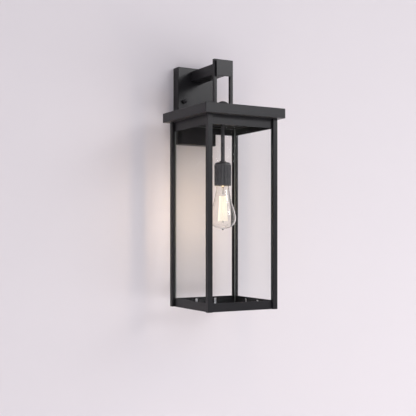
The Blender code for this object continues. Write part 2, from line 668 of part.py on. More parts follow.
# Radius and height above the tip, from the neck down to the tip
BULB_OUTLINE = ((11.2, 125.5), (11.3, 120.8), (13.8, 118.2), (15.4, 111.0), (16.3, 98.0), (18.9, 85.0),
                (22.6, 68.0), (26.9, 55.0), (30.4, 43.0), (32.0, 31.0), (31.0, 22.0), (26.4, 14.4),
                (18.0, 8.6), (9.0, 5.6), (3.4, 4.2), (2.4, 2.2), (1.4, 0.5), (0.0, 0.0))


def make_bulb():
    """Clear envelope, screw base and the glowing cage inside, all cemented into one lamp."""
    outer = [(r * MM, BULB_TIP_Z + h * MM) for r, h in BULB_OUTLINE]
    inner = [(r - BULB_WALL, z + 0.2 * MM) for r, z in outer if r > 4 * MM]
    inner.append((0.0, BULB_TIP_Z + 5.4 * MM))
    inner[0] = (inner[0][0], outer[0][1])
    place(turned(outer + inner[::-1], FINE_ROUND), "bulb_glass", CLEAR_GLASS, (0, BODY_CENTRE_Y, 0))

    inside = BASE_RADIUS - THREAD_DEPTH - 0.5 * MM
    thread = thread_profile(BASE_RADIUS, BASE_TOP_Z, BASE_BOTTOM_Z)
    rim = BASE_BOTTOM_Z - 0.6 * MM
    base = [(8.6 * MM, BASE_TOP_Z + 1.6 * MM), *thread, (BASE_RADIUS, rim), (12.9 * MM, rim),
            (inside, BASE_BOTTOM_Z + 2.0 * MM), (inside, BASE_TOP_Z - 0.5 * MM),
            (8.0 * MM, BASE_TOP_Z + 1.0 * MM)]
    place(turned(base, THREAD_ROUND), "bulb_base", NICKEL, (0, BODY_CENTRE_Y, 0))

    seat = BASE_TOP_Z + 1.6 * MM + GAP
    insulator = [(4.6 * MM, seat + 2.6 * MM), (8.4 * MM, seat), (5.2 * MM, seat - 2.2 * MM),
                 (2.2 * MM, seat - 2.2 * MM), (2.2 * MM, seat + 2.6 * MM)]
    place(turned(insulator, ROUND), "bulb_insulator", ((0.02, 0.02, 0.02), 0.15), (0, BODY_CENTRE_Y, 0))
    tip = seat + 2.6 * MM + GAP
    button = [(0, tip + 0.8 * MM), (3.0 * MM, tip + 0.5 * MM), (3.6 * MM, tip), (1.8 * MM, tip),
              (1.8 * MM, tip - 3.6 * MM), (0, tip - 3.6 * MM)]
    place(turned(button, ROUND), "bulb_contact", ((0.7, 0.7, 0.68), 0.35, 1.0), (0, BODY_CENTRE_Y, 0))


STEM_FLARE_Z = BULB_TIP_Z + 116.0 * MM
CAGE_HIGH_Z = BULB_TIP_Z + 84.0 * MM
CAGE_LOW_Z = BULB_TIP_Z + 20.0 * MM
CAGE_LOOPS = 7


def make_filament():
    """A squirrel-cage filament: one wire that climbs and falls around a glass rod."""
    rod = 1.5 * MM
    mount = [(0, STEM_FLARE_Z - 2.0 * MM), (5.0 * MM, STEM_FLARE_Z), (8.0 * MM, STEM_FLARE_Z),
             (6.0 * MM, STEM_FLARE_Z - 4.0 * MM), (3.6 * MM, STEM_FLARE_Z - 9.0 * MM),
             (3.2 * MM, STEM_FLARE_Z - 24.0 * MM), (rod, STEM_FLARE_Z - 27.0 * MM),
             (rod, CAGE_LOW_Z + 2.0 * MM), (0, CAGE_LOW_Z)]
    place(turned(mount, 12), "bulb_mount", CLEAR_GLASS, (0, BODY_CENTRE_Y, 0))

    strands = 2 * CAGE_LOOPS
    opening = math.radians(50)  # gap between the first strand and the last
    high, low = (8.0 * MM, CAGE_HIGH_Z), (11.0 * MM, CAGE_LOW_Z + 4.0 * MM)
    points = []
    for i in range(strands):
        angle = opening / 2 + (2 * HALF_TURN - opening) * i / (strands - 1)
        for radius, z in ((high, low) if i % 2 == 0 else (low, high)):
            points.append((radius * math.cos(angle), radius * math.sin(angle), z))
    place(wire(points, 0.4 * MM), "bulb_filament", ((1.0, 0.85, 0.55), 0.5), (0, BODY_CENTRE_Y, 0))

    for end, word in ((0, "a"), (-1, "b")):
        x, y, z = points[end]
        sign = 1 if y > 0 else -1
        press = Vector((3.9 * MM, sign * 1.6 * MM, STEM_FLARE_Z - 22.0 * MM))
        route = [press, Vector((5.6 * MM, sign * 2.4 * MM, z + 12.0 * MM)),
                 Vector((x, y, z + 1.2 * MM))]
        place(wire(route, 0.35 * MM), f"bulb_lead_wire_{word}", NICKEL, (0, BODY_CENTRE_Y, 0))


# ---------------------------------------------------------------- wiring inside the lantern

def make_leads():
    """Two leads: socket, stem, roof space, yoke bore, arm, wall pan."""
    top_bar_z = YOKE_TOP_Z - YOKE_BAR / 2
    for name, colour, offset, arm_z, turn_y in (
        ("lead_black", (0.02, 0.02, 0.02), -LEAD_SPREAD, ARM_CENTRE_Z - 2.5 * MM, -17.0 * MM),
        ("lead_white", (0.85, 0.85, 0.82), LEAD_SPREAD, ARM_CENTRE_Z + 2.5 * MM, -10.5 * MM),
    ):
        y = BODY_CENTRE_Y + offset
        route = rounded_route([
            (0, y, CORE_TOP_Z - 1.2 * MM),
            (0, y, LEAD_PORT_Z),
            (LEG_X, y, LEAD_PORT_Z),
            (LEG_X, y, top_bar_z),
            (0, y, top_bar_z),
            (0, y, arm_z),
            (0, turn_y, arm_z),
            (0, turn_y, -40.0 * MM),
        ], 2.2 * MM)
        place(wire(route, LEAD_RADIUS), name, (colour, 0.5))

    head_y = -PLATE_THICKNESS - 5.0 * MM
    loop = smooth_curve([
        (30.0 * MM, -PAN_DEPTH + PAN_SHEET + 1.2 * MM, 56.0 * MM),
        (30.0 * MM, -20.0 * MM, 52.0 * MM),
        (33.0 * MM, -13.0 * MM, 40.0 * MM),
        (33.0 * MM, -10.5 * MM, 26.0 * MM),
        (GROUND_SCREW_X + 1.0 * MM, head_y - 1.2 * MM, PLATE_CENTRE_Z + 4.0 * MM),
        (GROUND_SCREW_X, head_y - 1.5 * MM, PLATE_CENTRE_Z - 4.0 * MM),
        (GROUND_SCREW_X - 3.0 * MM, head_y - 3.0 * MM, PLATE_CENTRE_Z - 14.0 * MM),
        (GROUND_SCREW_X - 6.0 * MM, head_y - 5.0 * MM, -28.0 * MM),
    ], 4)
    place(wire(loop, 0.8 * MM), "ground_lead", COPPER)


make_backplate()
make_mounting_plate()
make_studs_and_cap_nuts()
make_ground_screw()
make_arm()
make_arm_end_cap()
make_yoke()
make_roof()
make_finial()
make_stem()
make_posts()
make_rails()
make_panes()
make_clips()
make_socket()
make_bulb()
make_filament()
make_leads()
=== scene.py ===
"""Looks of an outdoor wall lantern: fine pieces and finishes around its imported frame.

Metres, +Z up. +X is to the right for a person who faces the wall, and +Y points into the wall.
"""

import json
import math

import bmesh
import bpy
from mathutils import Matrix, Vector


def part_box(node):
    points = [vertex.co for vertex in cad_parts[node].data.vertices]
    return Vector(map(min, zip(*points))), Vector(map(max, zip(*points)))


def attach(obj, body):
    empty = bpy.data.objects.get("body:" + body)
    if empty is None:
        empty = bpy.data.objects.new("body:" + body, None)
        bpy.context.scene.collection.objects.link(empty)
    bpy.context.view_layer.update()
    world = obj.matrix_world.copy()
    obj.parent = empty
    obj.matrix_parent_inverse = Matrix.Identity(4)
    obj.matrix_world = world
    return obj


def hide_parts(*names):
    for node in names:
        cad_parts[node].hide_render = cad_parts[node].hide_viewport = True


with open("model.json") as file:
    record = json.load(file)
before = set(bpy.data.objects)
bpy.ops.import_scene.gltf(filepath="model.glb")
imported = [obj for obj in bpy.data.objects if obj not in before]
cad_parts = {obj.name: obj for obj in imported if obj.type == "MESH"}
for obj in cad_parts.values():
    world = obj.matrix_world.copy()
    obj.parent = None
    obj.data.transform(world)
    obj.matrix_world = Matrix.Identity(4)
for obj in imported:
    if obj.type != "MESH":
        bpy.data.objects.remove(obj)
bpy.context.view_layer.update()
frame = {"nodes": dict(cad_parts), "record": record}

MM = 0.001
FULL_TURN = 2 * math.pi
QUARTER_TURN = math.pi / 2
TO_WALL_FRONT = Matrix.Rotation(QUARTER_TURN, 4, "X")  # from upright to pointing out of the wall
FINE = 96  # sides of a piece seen close
MEDIUM = 48  # sides of a small piece
COARSE = 32  # sides of a screw inside the wall pan

LAMP_THREAD_PITCH = 3.63 * MM
PIPE_THREAD_PITCH = 0.94 * MM
PIPE_HOLE = 5.15 * MM  # radius of the holes that the lamp pipe runs in
PIPE_BORE = 2.6 * MM

LAMP_BODY = "bulb"
HOUSING = "lantern"


# ---------------------------------------------------------------- node trees

class Number:
    """A node's output that can be used in sums: each sum adds its own Math node."""

    def __init__(self, bench, socket):
        self.bench = bench
        self.socket = socket

    def sum(self, operation, first, second=None):
        sockets = {0: first} if second is None else {0: first, 1: second}
        return self.bench.number("ShaderNodeMath", {"operation": operation}, sockets)

    def __add__(self, other):
        return self.sum("ADD", self, other)

    def __sub__(self, other):
        return self.sum("SUBTRACT", self, other)

    def __rsub__(self, other):
        return self.sum("SUBTRACT", other, self)

    def __mul__(self, other):
        return self.sum("MULTIPLY", self, other)

    def __truediv__(self, other):
        return self.sum("DIVIDE", self, other)

    def __pow__(self, other):
        return self.sum("POWER", self, other)

    def above(self, other):
        return self.sum("GREATER_THAN", self, other)

    def cosine(self):
        return self.sum("COSINE", self)

    __radd__ = __add__
    __rmul__ = __mul__


class Bench:
    """A node tree being built."""

    def __init__(self, tree):
        self.tree = tree

    def feed(self, socket, value):
        if isinstance(value, Number):
            value = value.socket
        if isinstance(value, bpy.types.NodeSocket):
            self.tree.links.new(value, socket)
        elif socket.type == "RGBA":
            socket.default_value = (*value, 1.0)
        else:
            socket.default_value = value

    def add(self, kind, settings=None, sockets=None):
        """A node of that type: its settings first, then the values or links of its sockets."""
        node = self.tree.nodes.new(kind)
        for name, value in (settings or {}).items():
            if name == "stops":
                ramp = node.color_ramp.elements
                while len(ramp) < len(value):
                    ramp.new(0.5)
                for element, (at, shade) in zip(ramp, value):
                    element.position = at
                    element.color = (*shade, 1.0)
            else:
                setattr(node, name, value)
        for name, value in (sockets or {}).items():
            self.feed(node.inputs[name], value)
        return node

    def number(self, kind, settings=None, sockets=None, output=0):
        return Number(self, self.add(kind, settings, sockets).outputs[output])

    def axes(self, vector):
        parts = self.add("ShaderNodeSeparateXYZ", sockets={0: vector})
        return [Number(self, parts.outputs[i]) for i in range(3)]


class Finish(Bench):
    """A material under construction, around one Principled shader."""

    def __init__(self, name, **constants):
        self.material = bpy.data.materials.new(name)
        self.material.use_nodes = True
        super().__init__(self.material.node_tree)
        self.shader = self.tree.nodes["Principled BSDF"]
        self.output = self.tree.nodes["Material Output"]
        self.place = self.add("ShaderNodeTexCoord").outputs["Object"]
        for name, value in constants.items():
            self.feed(self.shader.inputs[name.replace("_", " ")], value)

    def noise(self, size, detail=2.0, stretch=(1.0, 1.0, 1.0)):
        """Soft noise from 0 to 1 whose features are about size metres across."""
        at = self.add("ShaderNodeMapping", sockets={"Vector": self.place, "Scale": stretch}).outputs[0]
        sockets = {"Vector": at, "Scale": 1 / size, "Detail": detail}
        return self.number("ShaderNodeTexNoise", sockets=sockets)

    def cells(self, size):
        """Random grey per cell, for plating and cast grain."""
        sockets = {"Vector": self.place, "Scale": 1 / size}
        made = self.add("ShaderNodeTexVoronoi", {"feature": "F1"}, sockets)
        return self.axes(made.outputs["Color"])[0]

    def facing_up(self):
        """1 on surfaces that face the sky, 0 on walls and undersides."""
        normal = self.add("ShaderNodeNewGeometry").outputs["Normal"]
        return self.number("ShaderNodeClamp", sockets={0: self.axes(normal)[2]})

    def between(self, amount, first, second):
        mixed = self.add("ShaderNodeMix", {"data_type": "RGBA"}, {0: amount, 6: first, 7: second})
        return mixed.outputs[2]

    def colour(self, value):
        self.feed(self.shader.inputs["Base Color"], value)

    def roughness(self, value):
        self.feed(self.shader.inputs["Roughness"], value)

    def relief(self, height, depth, strength=1.0):
        sockets = {"Height": height, "Distance": depth, "Strength": strength}
        bump = self.add("ShaderNodeBump", sockets=sockets)
        self.feed(self.shader.inputs["Normal"], bump.outputs[0])

    def lets_lamps_through(self, tint):
        """Light goes straight through, while the eye sees the shader's own glass."""
        shadow_ray = self.add("ShaderNodeLightPath").outputs["Is Shadow Ray"]
        clear = self.add("ShaderNodeBsdfTransparent", sockets={0: tint}).outputs[0]
        self.blends(shadow_ray, self.shader.outputs[0], clear)

    def blends(self, share, first, second):
        """The surface is a mix of two shaders."""
        both = self.add("ShaderNodeMixShader", sockets={0: share, 1: first, 2: second})
        self.feed(self.output.inputs[0], both.outputs[0])


# ---------------------------------------------------------------- finishes

def powder_coat(name, dark, light, shine=0.24, rough=0.30):
    """Satin black powder: orange peel, a fine tooth, and a little dust on what faces the sky."""
    made = Finish(name, Specular_IOR_Level=shine)
    peel, tooth, cloud = made.noise(1.9 * MM, 3.0), made.noise(0.35 * MM, 1.0), made.noise(45 * MM, 4.0)
    dust = made.facing_up() * (0.35 + 0.65 * made.noise(14 * MM, 5.0))
    coat = made.between(cloud, dark, light)
    made.colour(made.between(dust * 0.14, coat, (0.30, 0.29, 0.28)))
    made.roughness(rough + 0.08 * cloud + 0.05 * tooth + 0.2 * dust)
    made.relief(0.7 * peel + 0.3 * tooth, 0.12 * MM, 0.45)
    return made.material


def plated(name, dark, light, rough, grain):
    """Plated steel: faint crystals, rolled streaks and a dull bloom."""
    made = Finish(name, Metallic=1.0)
    crystals, streaks = made.cells(grain), made.noise(1.2 * MM, 3.0, (1.0, 1.0, 0.12))
    bloom = made.noise(7 * MM, 4.0)
    made.colour(made.between(0.45 * crystals + 0.3 * streaks + 0.25 * bloom, dark, light))
    made.roughness(rough + 0.12 * bloom + 0.08 * streaks)
    made.relief(streaks + 0.4 * crystals, 0.03 * MM, 0.3)
    return made.material


def cast_block():
    made = Finish("cast_block", Metallic=1.0)
    grain, pits = made.noise(0.8 * MM, 5.0), made.cells(1.6 * MM)
    made.colour(made.between(grain, (0.36, 0.36, 0.37), (0.62, 0.62, 0.63)))
    made.roughness(0.5 + 0.2 * grain)
    made.relief(grain + 0.4 * pits, 0.15 * MM, 0.6)
    return made.material


def glazed_porcelain():
    made = Finish("glazed_porcelain", Coat_Roughness=0.08)
    body, specks = made.noise(9 * MM, 3.0), made.noise(0.5 * MM, 2.0)
    ivory = made.between(body, (0.78, 0.75, 0.67), (0.87, 0.85, 0.79))
    made.colour(made.between(specks.above(0.72) * 0.5, ivory, (0.42, 0.36, 0.28)))
    made.roughness(0.28 + 0.2 * body)
    made.feed(made.shader.inputs["Coat Weight"], 0.6 + 0.3 * body)
    made.relief(body, 0.1 * MM, 0.3)
    return made.material


def insulation(name, dark, light):
    """Heat-resistant lead covering with a faint sheen and drawn lines."""
    made = Finish(name)
    scuff, draw = made.noise(3 * MM, 4.0), made.noise(0.3 * MM, 2.0)
    made.colour(made.between(scuff, dark, light))
    made.roughness(0.42 + 0.2 * scuff)
    made.relief(draw, 0.04 * MM, 0.4)
    return made.material


def black_base_glass():
    made = Finish("black_base_glass")
    swirl = made.noise(2.5 * MM, 4.0)
    made.colour(made.between(swirl, (0.012, 0.011, 0.014), (0.035, 0.03, 0.04)))
    made.roughness(0.08 + 0.12 * swirl)
    return made.material


def solder_tip():
    made = Finish("solder_tip", Metallic=1.0)
    skin = made.noise(1.1 * MM, 4.0)
    made.colour(made.between(skin, (0.42, 0.42, 0.41), (0.74, 0.74, 0.72)))
    made.roughness(0.28 + 0.3 * skin)
    made.relief(skin, 0.12 * MM, 0.7)
    return made.material


def clear_pane_glass():
    """Flat glass: mostly see-through, with a mirror sheen at shallow angles and faint cleaning haze."""
    made = Finish("clear_pane_glass", Specular_IOR_Level=0.6)
    haze = made.noise(60 * MM, 4.0, (1.0, 1.0, 0.35))
    made.colour((0.02, 0.022, 0.021))
    made.roughness(0.02 + 0.05 * haze)
    shallow = made.number("ShaderNodeLayerWeight", {}, {"Blend": 0.5}, output=1)
    clear = made.add("ShaderNodeBsdfTransparent", sockets={0: (0.995, 0.998, 0.996)}).outputs[0]
    share = 0.012 + 0.8 * shallow ** 5.0 * (0.85 + 0.3 * haze)
    made.blends(share, clear, made.shader.outputs[0])
    return made.material


def pane_edge():
    """The ground edge of a pane, which gathers light from inside the glass and shows pale green-grey."""
    made = Finish("pane_edge")
    chips = made.noise(1.2 * MM, 4.0)
    made.colour(made.between(chips, (0.10, 0.112, 0.108), (0.20, 0.215, 0.21)))
    made.roughness(0.3 + 0.25 * chips)
    made.relief(chips, 0.08 * MM, 0.5)
    return made.material


def blown_glass(name, tint, rough):
    """Blown lamp glass with its slight waves."""
    made = Finish(name, Transmission_Weight=1.0, IOR=1.47)
    wave, streak = made.noise(16 * MM, 1.0), made.noise(5 * MM, 2.0, (1.0, 1.0, 0.3))
    made.colour(made.between(wave, tint, tuple(0.5 + 0.5 * c for c in tint)))
    made.roughness(rough + 0.01 * streak)
    made.relief(wave, 0.05 * MM, 0.2)
    made.lets_lamps_through((0.98, 0.96, 0.93))
    return made.material


def filament_wire():
    """White-hot wire, a little cooler at its clamps."""
    made = Finish("filament_wire", Emission_Strength=1.5)
    height = made.axes(made.place)[2]
    low, high = (corner.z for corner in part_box("bulb_filament"))
    warmth = made.number("ShaderNodeMapRange", sockets={0: height, 1: low, 2: high, 3: 0.0, 4: 1.0})
    ripple = made.noise(2 * MM, 2.0)
    made.colour((0.03, 0.025, 0.02))
    glow = made.between(warmth * 0.6 + ripple * 0.4, (1.0, 0.93, 0.76), (1.0, 0.88, 0.66))
    made.feed(made.shader.inputs["Emission Color"], glow)
    made.roughness(0.5)
    return made.material


FINISHES = {
    "black_powder_coat": powder_coat("black_powder_coat", (0.012, 0.0117, 0.013),
                                     (0.020, 0.0195, 0.0212)),
    "clear_pane_glass": clear_pane_glass(),
    "bulb_envelope": blown_glass("bulb_envelope", (0.99, 0.975, 0.945), 0.0),
    "bulb_stem_glass": blown_glass("bulb_stem_glass", (0.96, 0.95, 0.92), 0.03),
    "filament_wire": filament_wire(),
    "nickel_plate": plated("nickel_plate", (0.46, 0.44, 0.41), (0.78, 0.76, 0.72), 0.24, 2.0 * MM),
    "black_base_glass": black_base_glass(),
    "solder_tip": solder_tip(),
    "glazed_porcelain": glazed_porcelain(),
    "socket_brass": plated("socket_brass", (0.52, 0.36, 0.15), (0.80, 0.60, 0.30), 0.26, 2.5 * MM),
    "cast_block": cast_block(),
    "zinc_plate": plated("zinc_plate", (0.40, 0.41, 0.43), (0.72, 0.72, 0.74), 0.32, 4.0 * MM),
    "spring_steel": plated("spring_steel", (0.50, 0.50, 0.51), (0.80, 0.80, 0.82), 0.2, 1.5 * MM),
    "green_ground_screw": plated("green_ground_screw", (0.03, 0.20, 0.07), (0.09, 0.42, 0.17), 0.3,
                                 1.5 * MM),
    "bare_copper": plated("bare_copper", (0.50, 0.22, 0.12), (0.82, 0.44, 0.28), 0.28, 1.2 * MM),
    "black_insulation": insulation("black_insulation", (0.012, 0.012, 0.013), (0.035, 0.034, 0.034)),
    "white_insulation": insulation("white_insulation", (0.66, 0.65, 0.61), (0.85, 0.85, 0.82)),
}
PANE_EDGE = pane_edge()
# A lighter, glossier copy of the black coat for the socket cup and lamp pipe. The gloss is their satin
# finish; the extra lightness is painted light from the lamp and through the glass.
SOCKET_COAT_WITH_PAINTED_LIGHT = powder_coat("black_socket_paint", (0.050, 0.048, 0.050), (0.072, 0.070, 0.072),
                           shine=0.6, rough=0.2)
# A lighter copy of the black coat for the ceiling plate over the lamp: painted lamplight on its
# underside.
CEILING_COAT_WITH_PAINTED_LIGHT = powder_coat("matt_inside_paint", (0.040, 0.038, 0.038), (0.060, 0.057, 0.057))
SLOT_OF = {part["node"]: part["material_slot"] for part in frame["record"]["subparts"]}


def coat_the_frame():
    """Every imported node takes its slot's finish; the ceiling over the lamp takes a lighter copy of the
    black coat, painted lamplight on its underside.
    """
    for name, node in frame["nodes"].items():
        finish = CEILING_COAT_WITH_PAINTED_LIGHT if name == "ceiling_plate" else FINISHES[SLOT_OF[name]]
        node.data.materials.clear()
        node.data.materials.append(finish)


# ---------------------------------------------------------------- making and placing pieces

def piece(name, mesh, body, replaced, slot=None, smooth=35):
    """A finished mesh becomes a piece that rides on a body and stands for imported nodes."""
    slot = slot or SLOT_OF[replaced[0]]
    mesh.name = name
    made = bpy.data.objects.new(name, mesh)
    bpy.context.scene.collection.objects.link(made)
    if not mesh.materials:
        mesh.materials.append(FINISHES[slot])
    mesh.shade_smooth()
    mesh.set_sharp_from_angle(angle=math.radians(smooth))
    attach(made, body)
    if replaced:
        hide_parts(*replaced)


def axis_of(node):
    """The middle of a node and half its size."""
    low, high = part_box(node)
    return (low + high) / 2, (high - low) / 2


def mesh_of(form, name):
    """The mesh that a finished form holds."""
    mesh = bpy.data.meshes.new(name)
    form.to_mesh(mesh)
    form.free()
    return mesh


def raised_on(middle, mesh):
    """Moves a mesh made round the origin's axis onto a node's own upright axis."""
    mesh.transform(Matrix.Translation((middle.x, middle.y, 0)))
    return mesh


def settled(thing):
    """The plain mesh that an object's modifiers give; the object itself is removed."""
    bpy.context.scene.collection.objects.link(thing)
    bpy.context.view_layer.update()
    evaluated = thing.evaluated_get(bpy.context.evaluated_depsgraph_get())
    mesh = bpy.data.meshes.new_from_object(evaluated)
    bpy.data.objects.remove(thing, do_unlink=True)
    return mesh


def turned(profile, sides=FINE):
    """A solid turned about Z from (radius, height) pairs that run down its outside."""
    form = bmesh.new()
    rings = []
    for radius, height in profile:
        if radius < 1e-7:
            rings.append([form.verts.new((0, 0, height))])
            continue
        ring = []
        for i in range(sides):
            angle = FULL_TURN * i / sides
            ring.append(form.verts.new((radius * math.cos(angle), radius * math.sin(angle), height)))
        rings.append(ring)
    closed = len(rings[0]) > 1 and len(rings[-1]) > 1
    for upper, lower in zip(rings, rings[1:] + (rings[:1] if closed else [])):
        for i in range(sides):
            k = (i + 1) % sides
            corners = [upper[i % len(upper)], lower[i % len(lower)]]
            corners += [lower[k % len(lower)], upper[k % len(upper)]]
            corners = list(dict.fromkeys(corners))
            if len(corners) > 2:
                form.faces.new(corners)
    return mesh_of(form, "turned")


def smooth_profile(points, steps=6):
    """A smooth line through the points, for a turned outline or a bent wire."""
    points = [Vector(p) for p in points]
    ends = [2 * points[0] - points[1], *points, 2 * points[-1] - points[-2]]
    made = []
    for before, start, end, after in zip(ends, ends[1:], ends[2:], ends[3:]):
        for k in range(steps):
            t = k / steps
            bend = 2 * before - 5 * start + 4 * end - after
            twist = 3 * start - before - 3 * end + after
            made.append(0.5 * (2 * start + (end - before) * t + bend * t ** 2 + twist * t ** 3))
    made.append(points[-1])
    return [tuple(p) for p in made]


def arc(centre, radius, start, end, steps):
    """Points of an arc in a profile; angles in degrees, 0 outwards and 90 up."""
    made = []
    for i in range(steps + 1):
        angle = math.radians(start + (end - start) * i / steps)
        made.append((centre[0] + radius * math.cos(angle), centre[1] + radius * math.sin(angle)))
    return made


def straight(start, end, steps):
    """Evenly spaced profile points from start up to, but without, end."""
    return [tuple(Vector(start).lerp(Vector(end), i / steps)) for i in range(steps)]


def wire(points, radius, sides=12):
    """A round wire along points, with its ends closed."""
    curve = bpy.data.curves.new("wire", "CURVE")
    curve.dimensions = "3D"
    curve.bevel_depth = radius
    curve.bevel_resolution = (sides - 4) // 2
    curve.use_fill_caps = True
    spline = curve.splines.new("POLY")
    spline.points.add(len(points) - 1)
    for point, at in zip(spline.points, points):
        point.co = (*at, 1.0)
    mesh = settled(bpy.data.objects.new("wire", curve))
    form = bmesh.new()
    form.from_mesh(mesh)
    bmesh.ops.remove_doubles(form, verts=form.verts, dist=1e-6)
    form.to_mesh(mesh)
    form.free()
    return mesh


def extruded(outline, depth):
    """A flat outline in X and Y, as thick as depth along Z, its middle at the origin."""
    form = bmesh.new()
    under = form.faces.new([form.verts.new((x, y, -depth / 2)) for x, y in outline])
    moved = bmesh.ops.extrude_face_region(form, geom=[under])["geom"]
    upper = [v for v in moved if isinstance(v, bmesh.types.BMVert)]
    bmesh.ops.translate(form, verts=upper, vec=(0, 0, depth))
    bmesh.ops.recalc_face_normals(form, faces=form.faces)
    return mesh_of(form, "extruded")


def softened(mesh, width, segments):
    """The mesh with its sharp edges rounded off."""
    thing = bpy.data.objects.new("softened", mesh)
    soft = thing.modifiers.new("edges", "BEVEL")
    soft.width = width
    soft.segments = segments
    soft.limit_method = "ANGLE"
    soft.angle_limit = math.radians(30)
    return settled(thing)


def cut_away(mesh, tool, operation="DIFFERENCE"):
    """The mesh with the tool taken out of it, or only what both share."""
    thing, other = bpy.data.objects.new("kept", mesh), bpy.data.objects.new("tool", tool)
    bpy.context.scene.collection.objects.link(other)
    cut = thing.modifiers.new("cut", "BOOLEAN")
    cut.operation = operation
    cut.object = other
    made = settled(thing)
    bpy.data.objects.remove(other, do_unlink=True)
    return made


# ---------------------------------------------------------------- shapes that follow a rule

def rule_tree(name, sizes):
    """A geometry tree with a named input for each size."""
    tree = bpy.data.node_groups.new(name, "GeometryNodeTree")
    tree.interface.new_socket("Geometry", in_out="INPUT", socket_type="NodeSocketGeometry")
    for size in sizes:
        tree.interface.new_socket(size, in_out="INPUT", socket_type="NodeSocketFloat")
    tree.interface.new_socket("Geometry", in_out="OUTPUT", socket_type="NodeSocketGeometry")
    bench = Bench(tree)
    source = bench.add("NodeGroupInput")
    return bench, source, {size: Number(bench, source.outputs[size]) for size in sizes}


def close_tree(bench, geometry, material):
    """Realize Instances and Set Material, then the tree's output."""
    real = bench.add("GeometryNodeRealizeInstances", sockets={0: geometry}).outputs[0]
    dressed = bench.add("GeometryNodeSetMaterial", sockets={"Geometry": real, "Material": material})
    bench.add("NodeGroupOutput", sockets={0: dressed.outputs[0]})
    return bench.tree


def shaped(mesh, tree, values):
    """The plain mesh that a tree makes of a mesh, with its inputs set by their identifiers."""
    thing = bpy.data.objects.new("shaped", mesh)
    rule = thing.modifiers.new("rule", "NODES")
    rule.node_group = tree
    for item in tree.interface.items_tree:
        if item.in_out == "INPUT" and item.name in values:
            rule[item.identifier] = values[item.name]
    return settled(thing)


def around_axis(bench):
    """Angle, radius, height and outward direction of a point about the Z axis."""
    place = bench.add("GeometryNodeInputPosition").outputs[0]
    x, y, z = bench.axes(place)
    radius = (x * x + y * y) ** 0.5
    angle = x.sum("ARCTAN2", y, x)
    flat = bench.add("ShaderNodeCombineXYZ", sockets={0: x, 1: y}).outputs[0]
    outward = bench.add("ShaderNodeVectorMath", {"operation": "NORMALIZE"}, {0: flat}).outputs[0]
    return angle, radius, z, outward


def pushed_inward(bench, geometry, outward, depth):
    """Moves each point towards the axis by its own depth."""
    step = bench.add("ShaderNodeVectorMath", {"operation": "SCALE"}, {0: outward, 3: 0 - depth})
    sockets = {"Geometry": geometry, "Offset": step.outputs[0]}
    return bench.add("GeometryNodeSetPosition", sockets=sockets).outputs[0]


def rolled_thread_tree(material):
    """A screw thread rolled into whatever lies between two heights, outside a least radius."""
    bench, source, size = rule_tree("rolled_thread", ["Pitch", "Depth", "Low", "High", "Least Radius"])
    angle, radius, z, outward = around_axis(bench)
    wave = 0.5 - 0.5 * (z / size["Pitch"] * FULL_TURN - angle).cosine()
    run_out = size["Pitch"] * 0.6
    lead_in = bench.number("ShaderNodeClamp", sockets={0: (z - size["Low"]) / run_out})
    lead_out = bench.number("ShaderNodeClamp", sockets={0: (size["High"] - z) / run_out})
    depth = size["Depth"] * wave * lead_in * lead_out * radius.above(size["Least Radius"])
    return close_tree(bench, pushed_inward(bench, source.outputs[0], outward, depth), material)


def fluted_skirt_tree(material):
    """Upright flutes round a skirt, fading out towards its shoulder."""
    names = ["Count", "Phase", "Depth", "Low", "High", "Least Radius"]
    bench, source, size = rule_tree("fluted_skirt", names)
    angle, radius, z, outward = around_axis(bench)
    wave = 0.5 + 0.5 * ((angle - size["Phase"]) * size["Count"]).cosine()
    upwards = (size["High"] - z) / (size["High"] - size["Low"])
    fade = bench.number("ShaderNodeClamp", sockets={0: upwards * 6.0})
    start = bench.number("ShaderNodeClamp", sockets={0: (z - size["Low"]) / (0.6 * MM)})
    depth = size["Depth"] * wave ** 1.3 * fade * start * radius.above(size["Least Radius"])
    return close_tree(bench, pushed_inward(bench, source.outputs[0], outward, depth), material)


def clip_ring_tree(material):
    """Copies of one clip in pairs on the four sides of the cage."""
    bench, source, size = rule_tree("clip_ring", ["Offset"])
    line = bench.add("GeometryNodeMeshLine", sockets={"Count": 8, "Offset": (0.0, 0.0, 0.0)}).outputs[0]
    index = bench.number("GeometryNodeInputIndex")
    side = (index / 2).sum("FLOOR", index / 2)
    away = (index - side * 2) * 2 - 1
    turn = bench.add("ShaderNodeCombineXYZ", sockets={2: side * QUARTER_TURN}).outputs[0]
    shift = bench.add("ShaderNodeCombineXYZ", sockets={0: away * size["Offset"]}).outputs[0]
    spot = bench.add("ShaderNodeVectorRotate", {"rotation_type": "Z_AXIS"},
                     {"Vector": shift, "Angle": side * QUARTER_TURN}).outputs[0]
    points = bench.add("GeometryNodeSetPosition", sockets={"Geometry": line, "Position": spot})
    sockets = {"Points": points.outputs[0], "Instance": source.outputs[0], "Rotation": turn}
    copies = bench.add("GeometryNodeInstanceOnPoints", sockets=sockets).outputs[0]
    return close_tree(bench, copies, material)


THREAD = {}


def threaded(mesh, material, pitch, depth, low, high, least_radius=0.0):
    """The mesh with a thread, finished in the material."""
    if material.name not in THREAD:
        THREAD[material.name] = rolled_thread_tree(material)
    sizes = {"Pitch": pitch, "Depth": depth, "Low": low, "High": high, "Least Radius": least_radius}
    return shaped(mesh, THREAD[material.name], sizes)


# ---------------------------------------------------------------- lamp

ENVELOPE_OUTLINE = [(11.0, 125.4), (11.1, 121.5), (13.6, 117.6), (15.2, 111.0), (16.4, 98.0),
                    (18.9, 85.0), (22.6, 68.0), (26.9, 55.0), (30.3, 43.0), (31.9, 31.5), (31.0, 22.0),
                    (26.4, 14.2), (18.0, 8.3), (9.0, 5.3), (3.8, 4.2), (2.4, 2.4), (1.5, 0.6), (0.0, 0.0)]
ENVELOPE_HALF_WIDTH = 32.0  # what the outline's radii, in millimetres, are measured against
ENVELOPE_WALL = 0.7 * MM


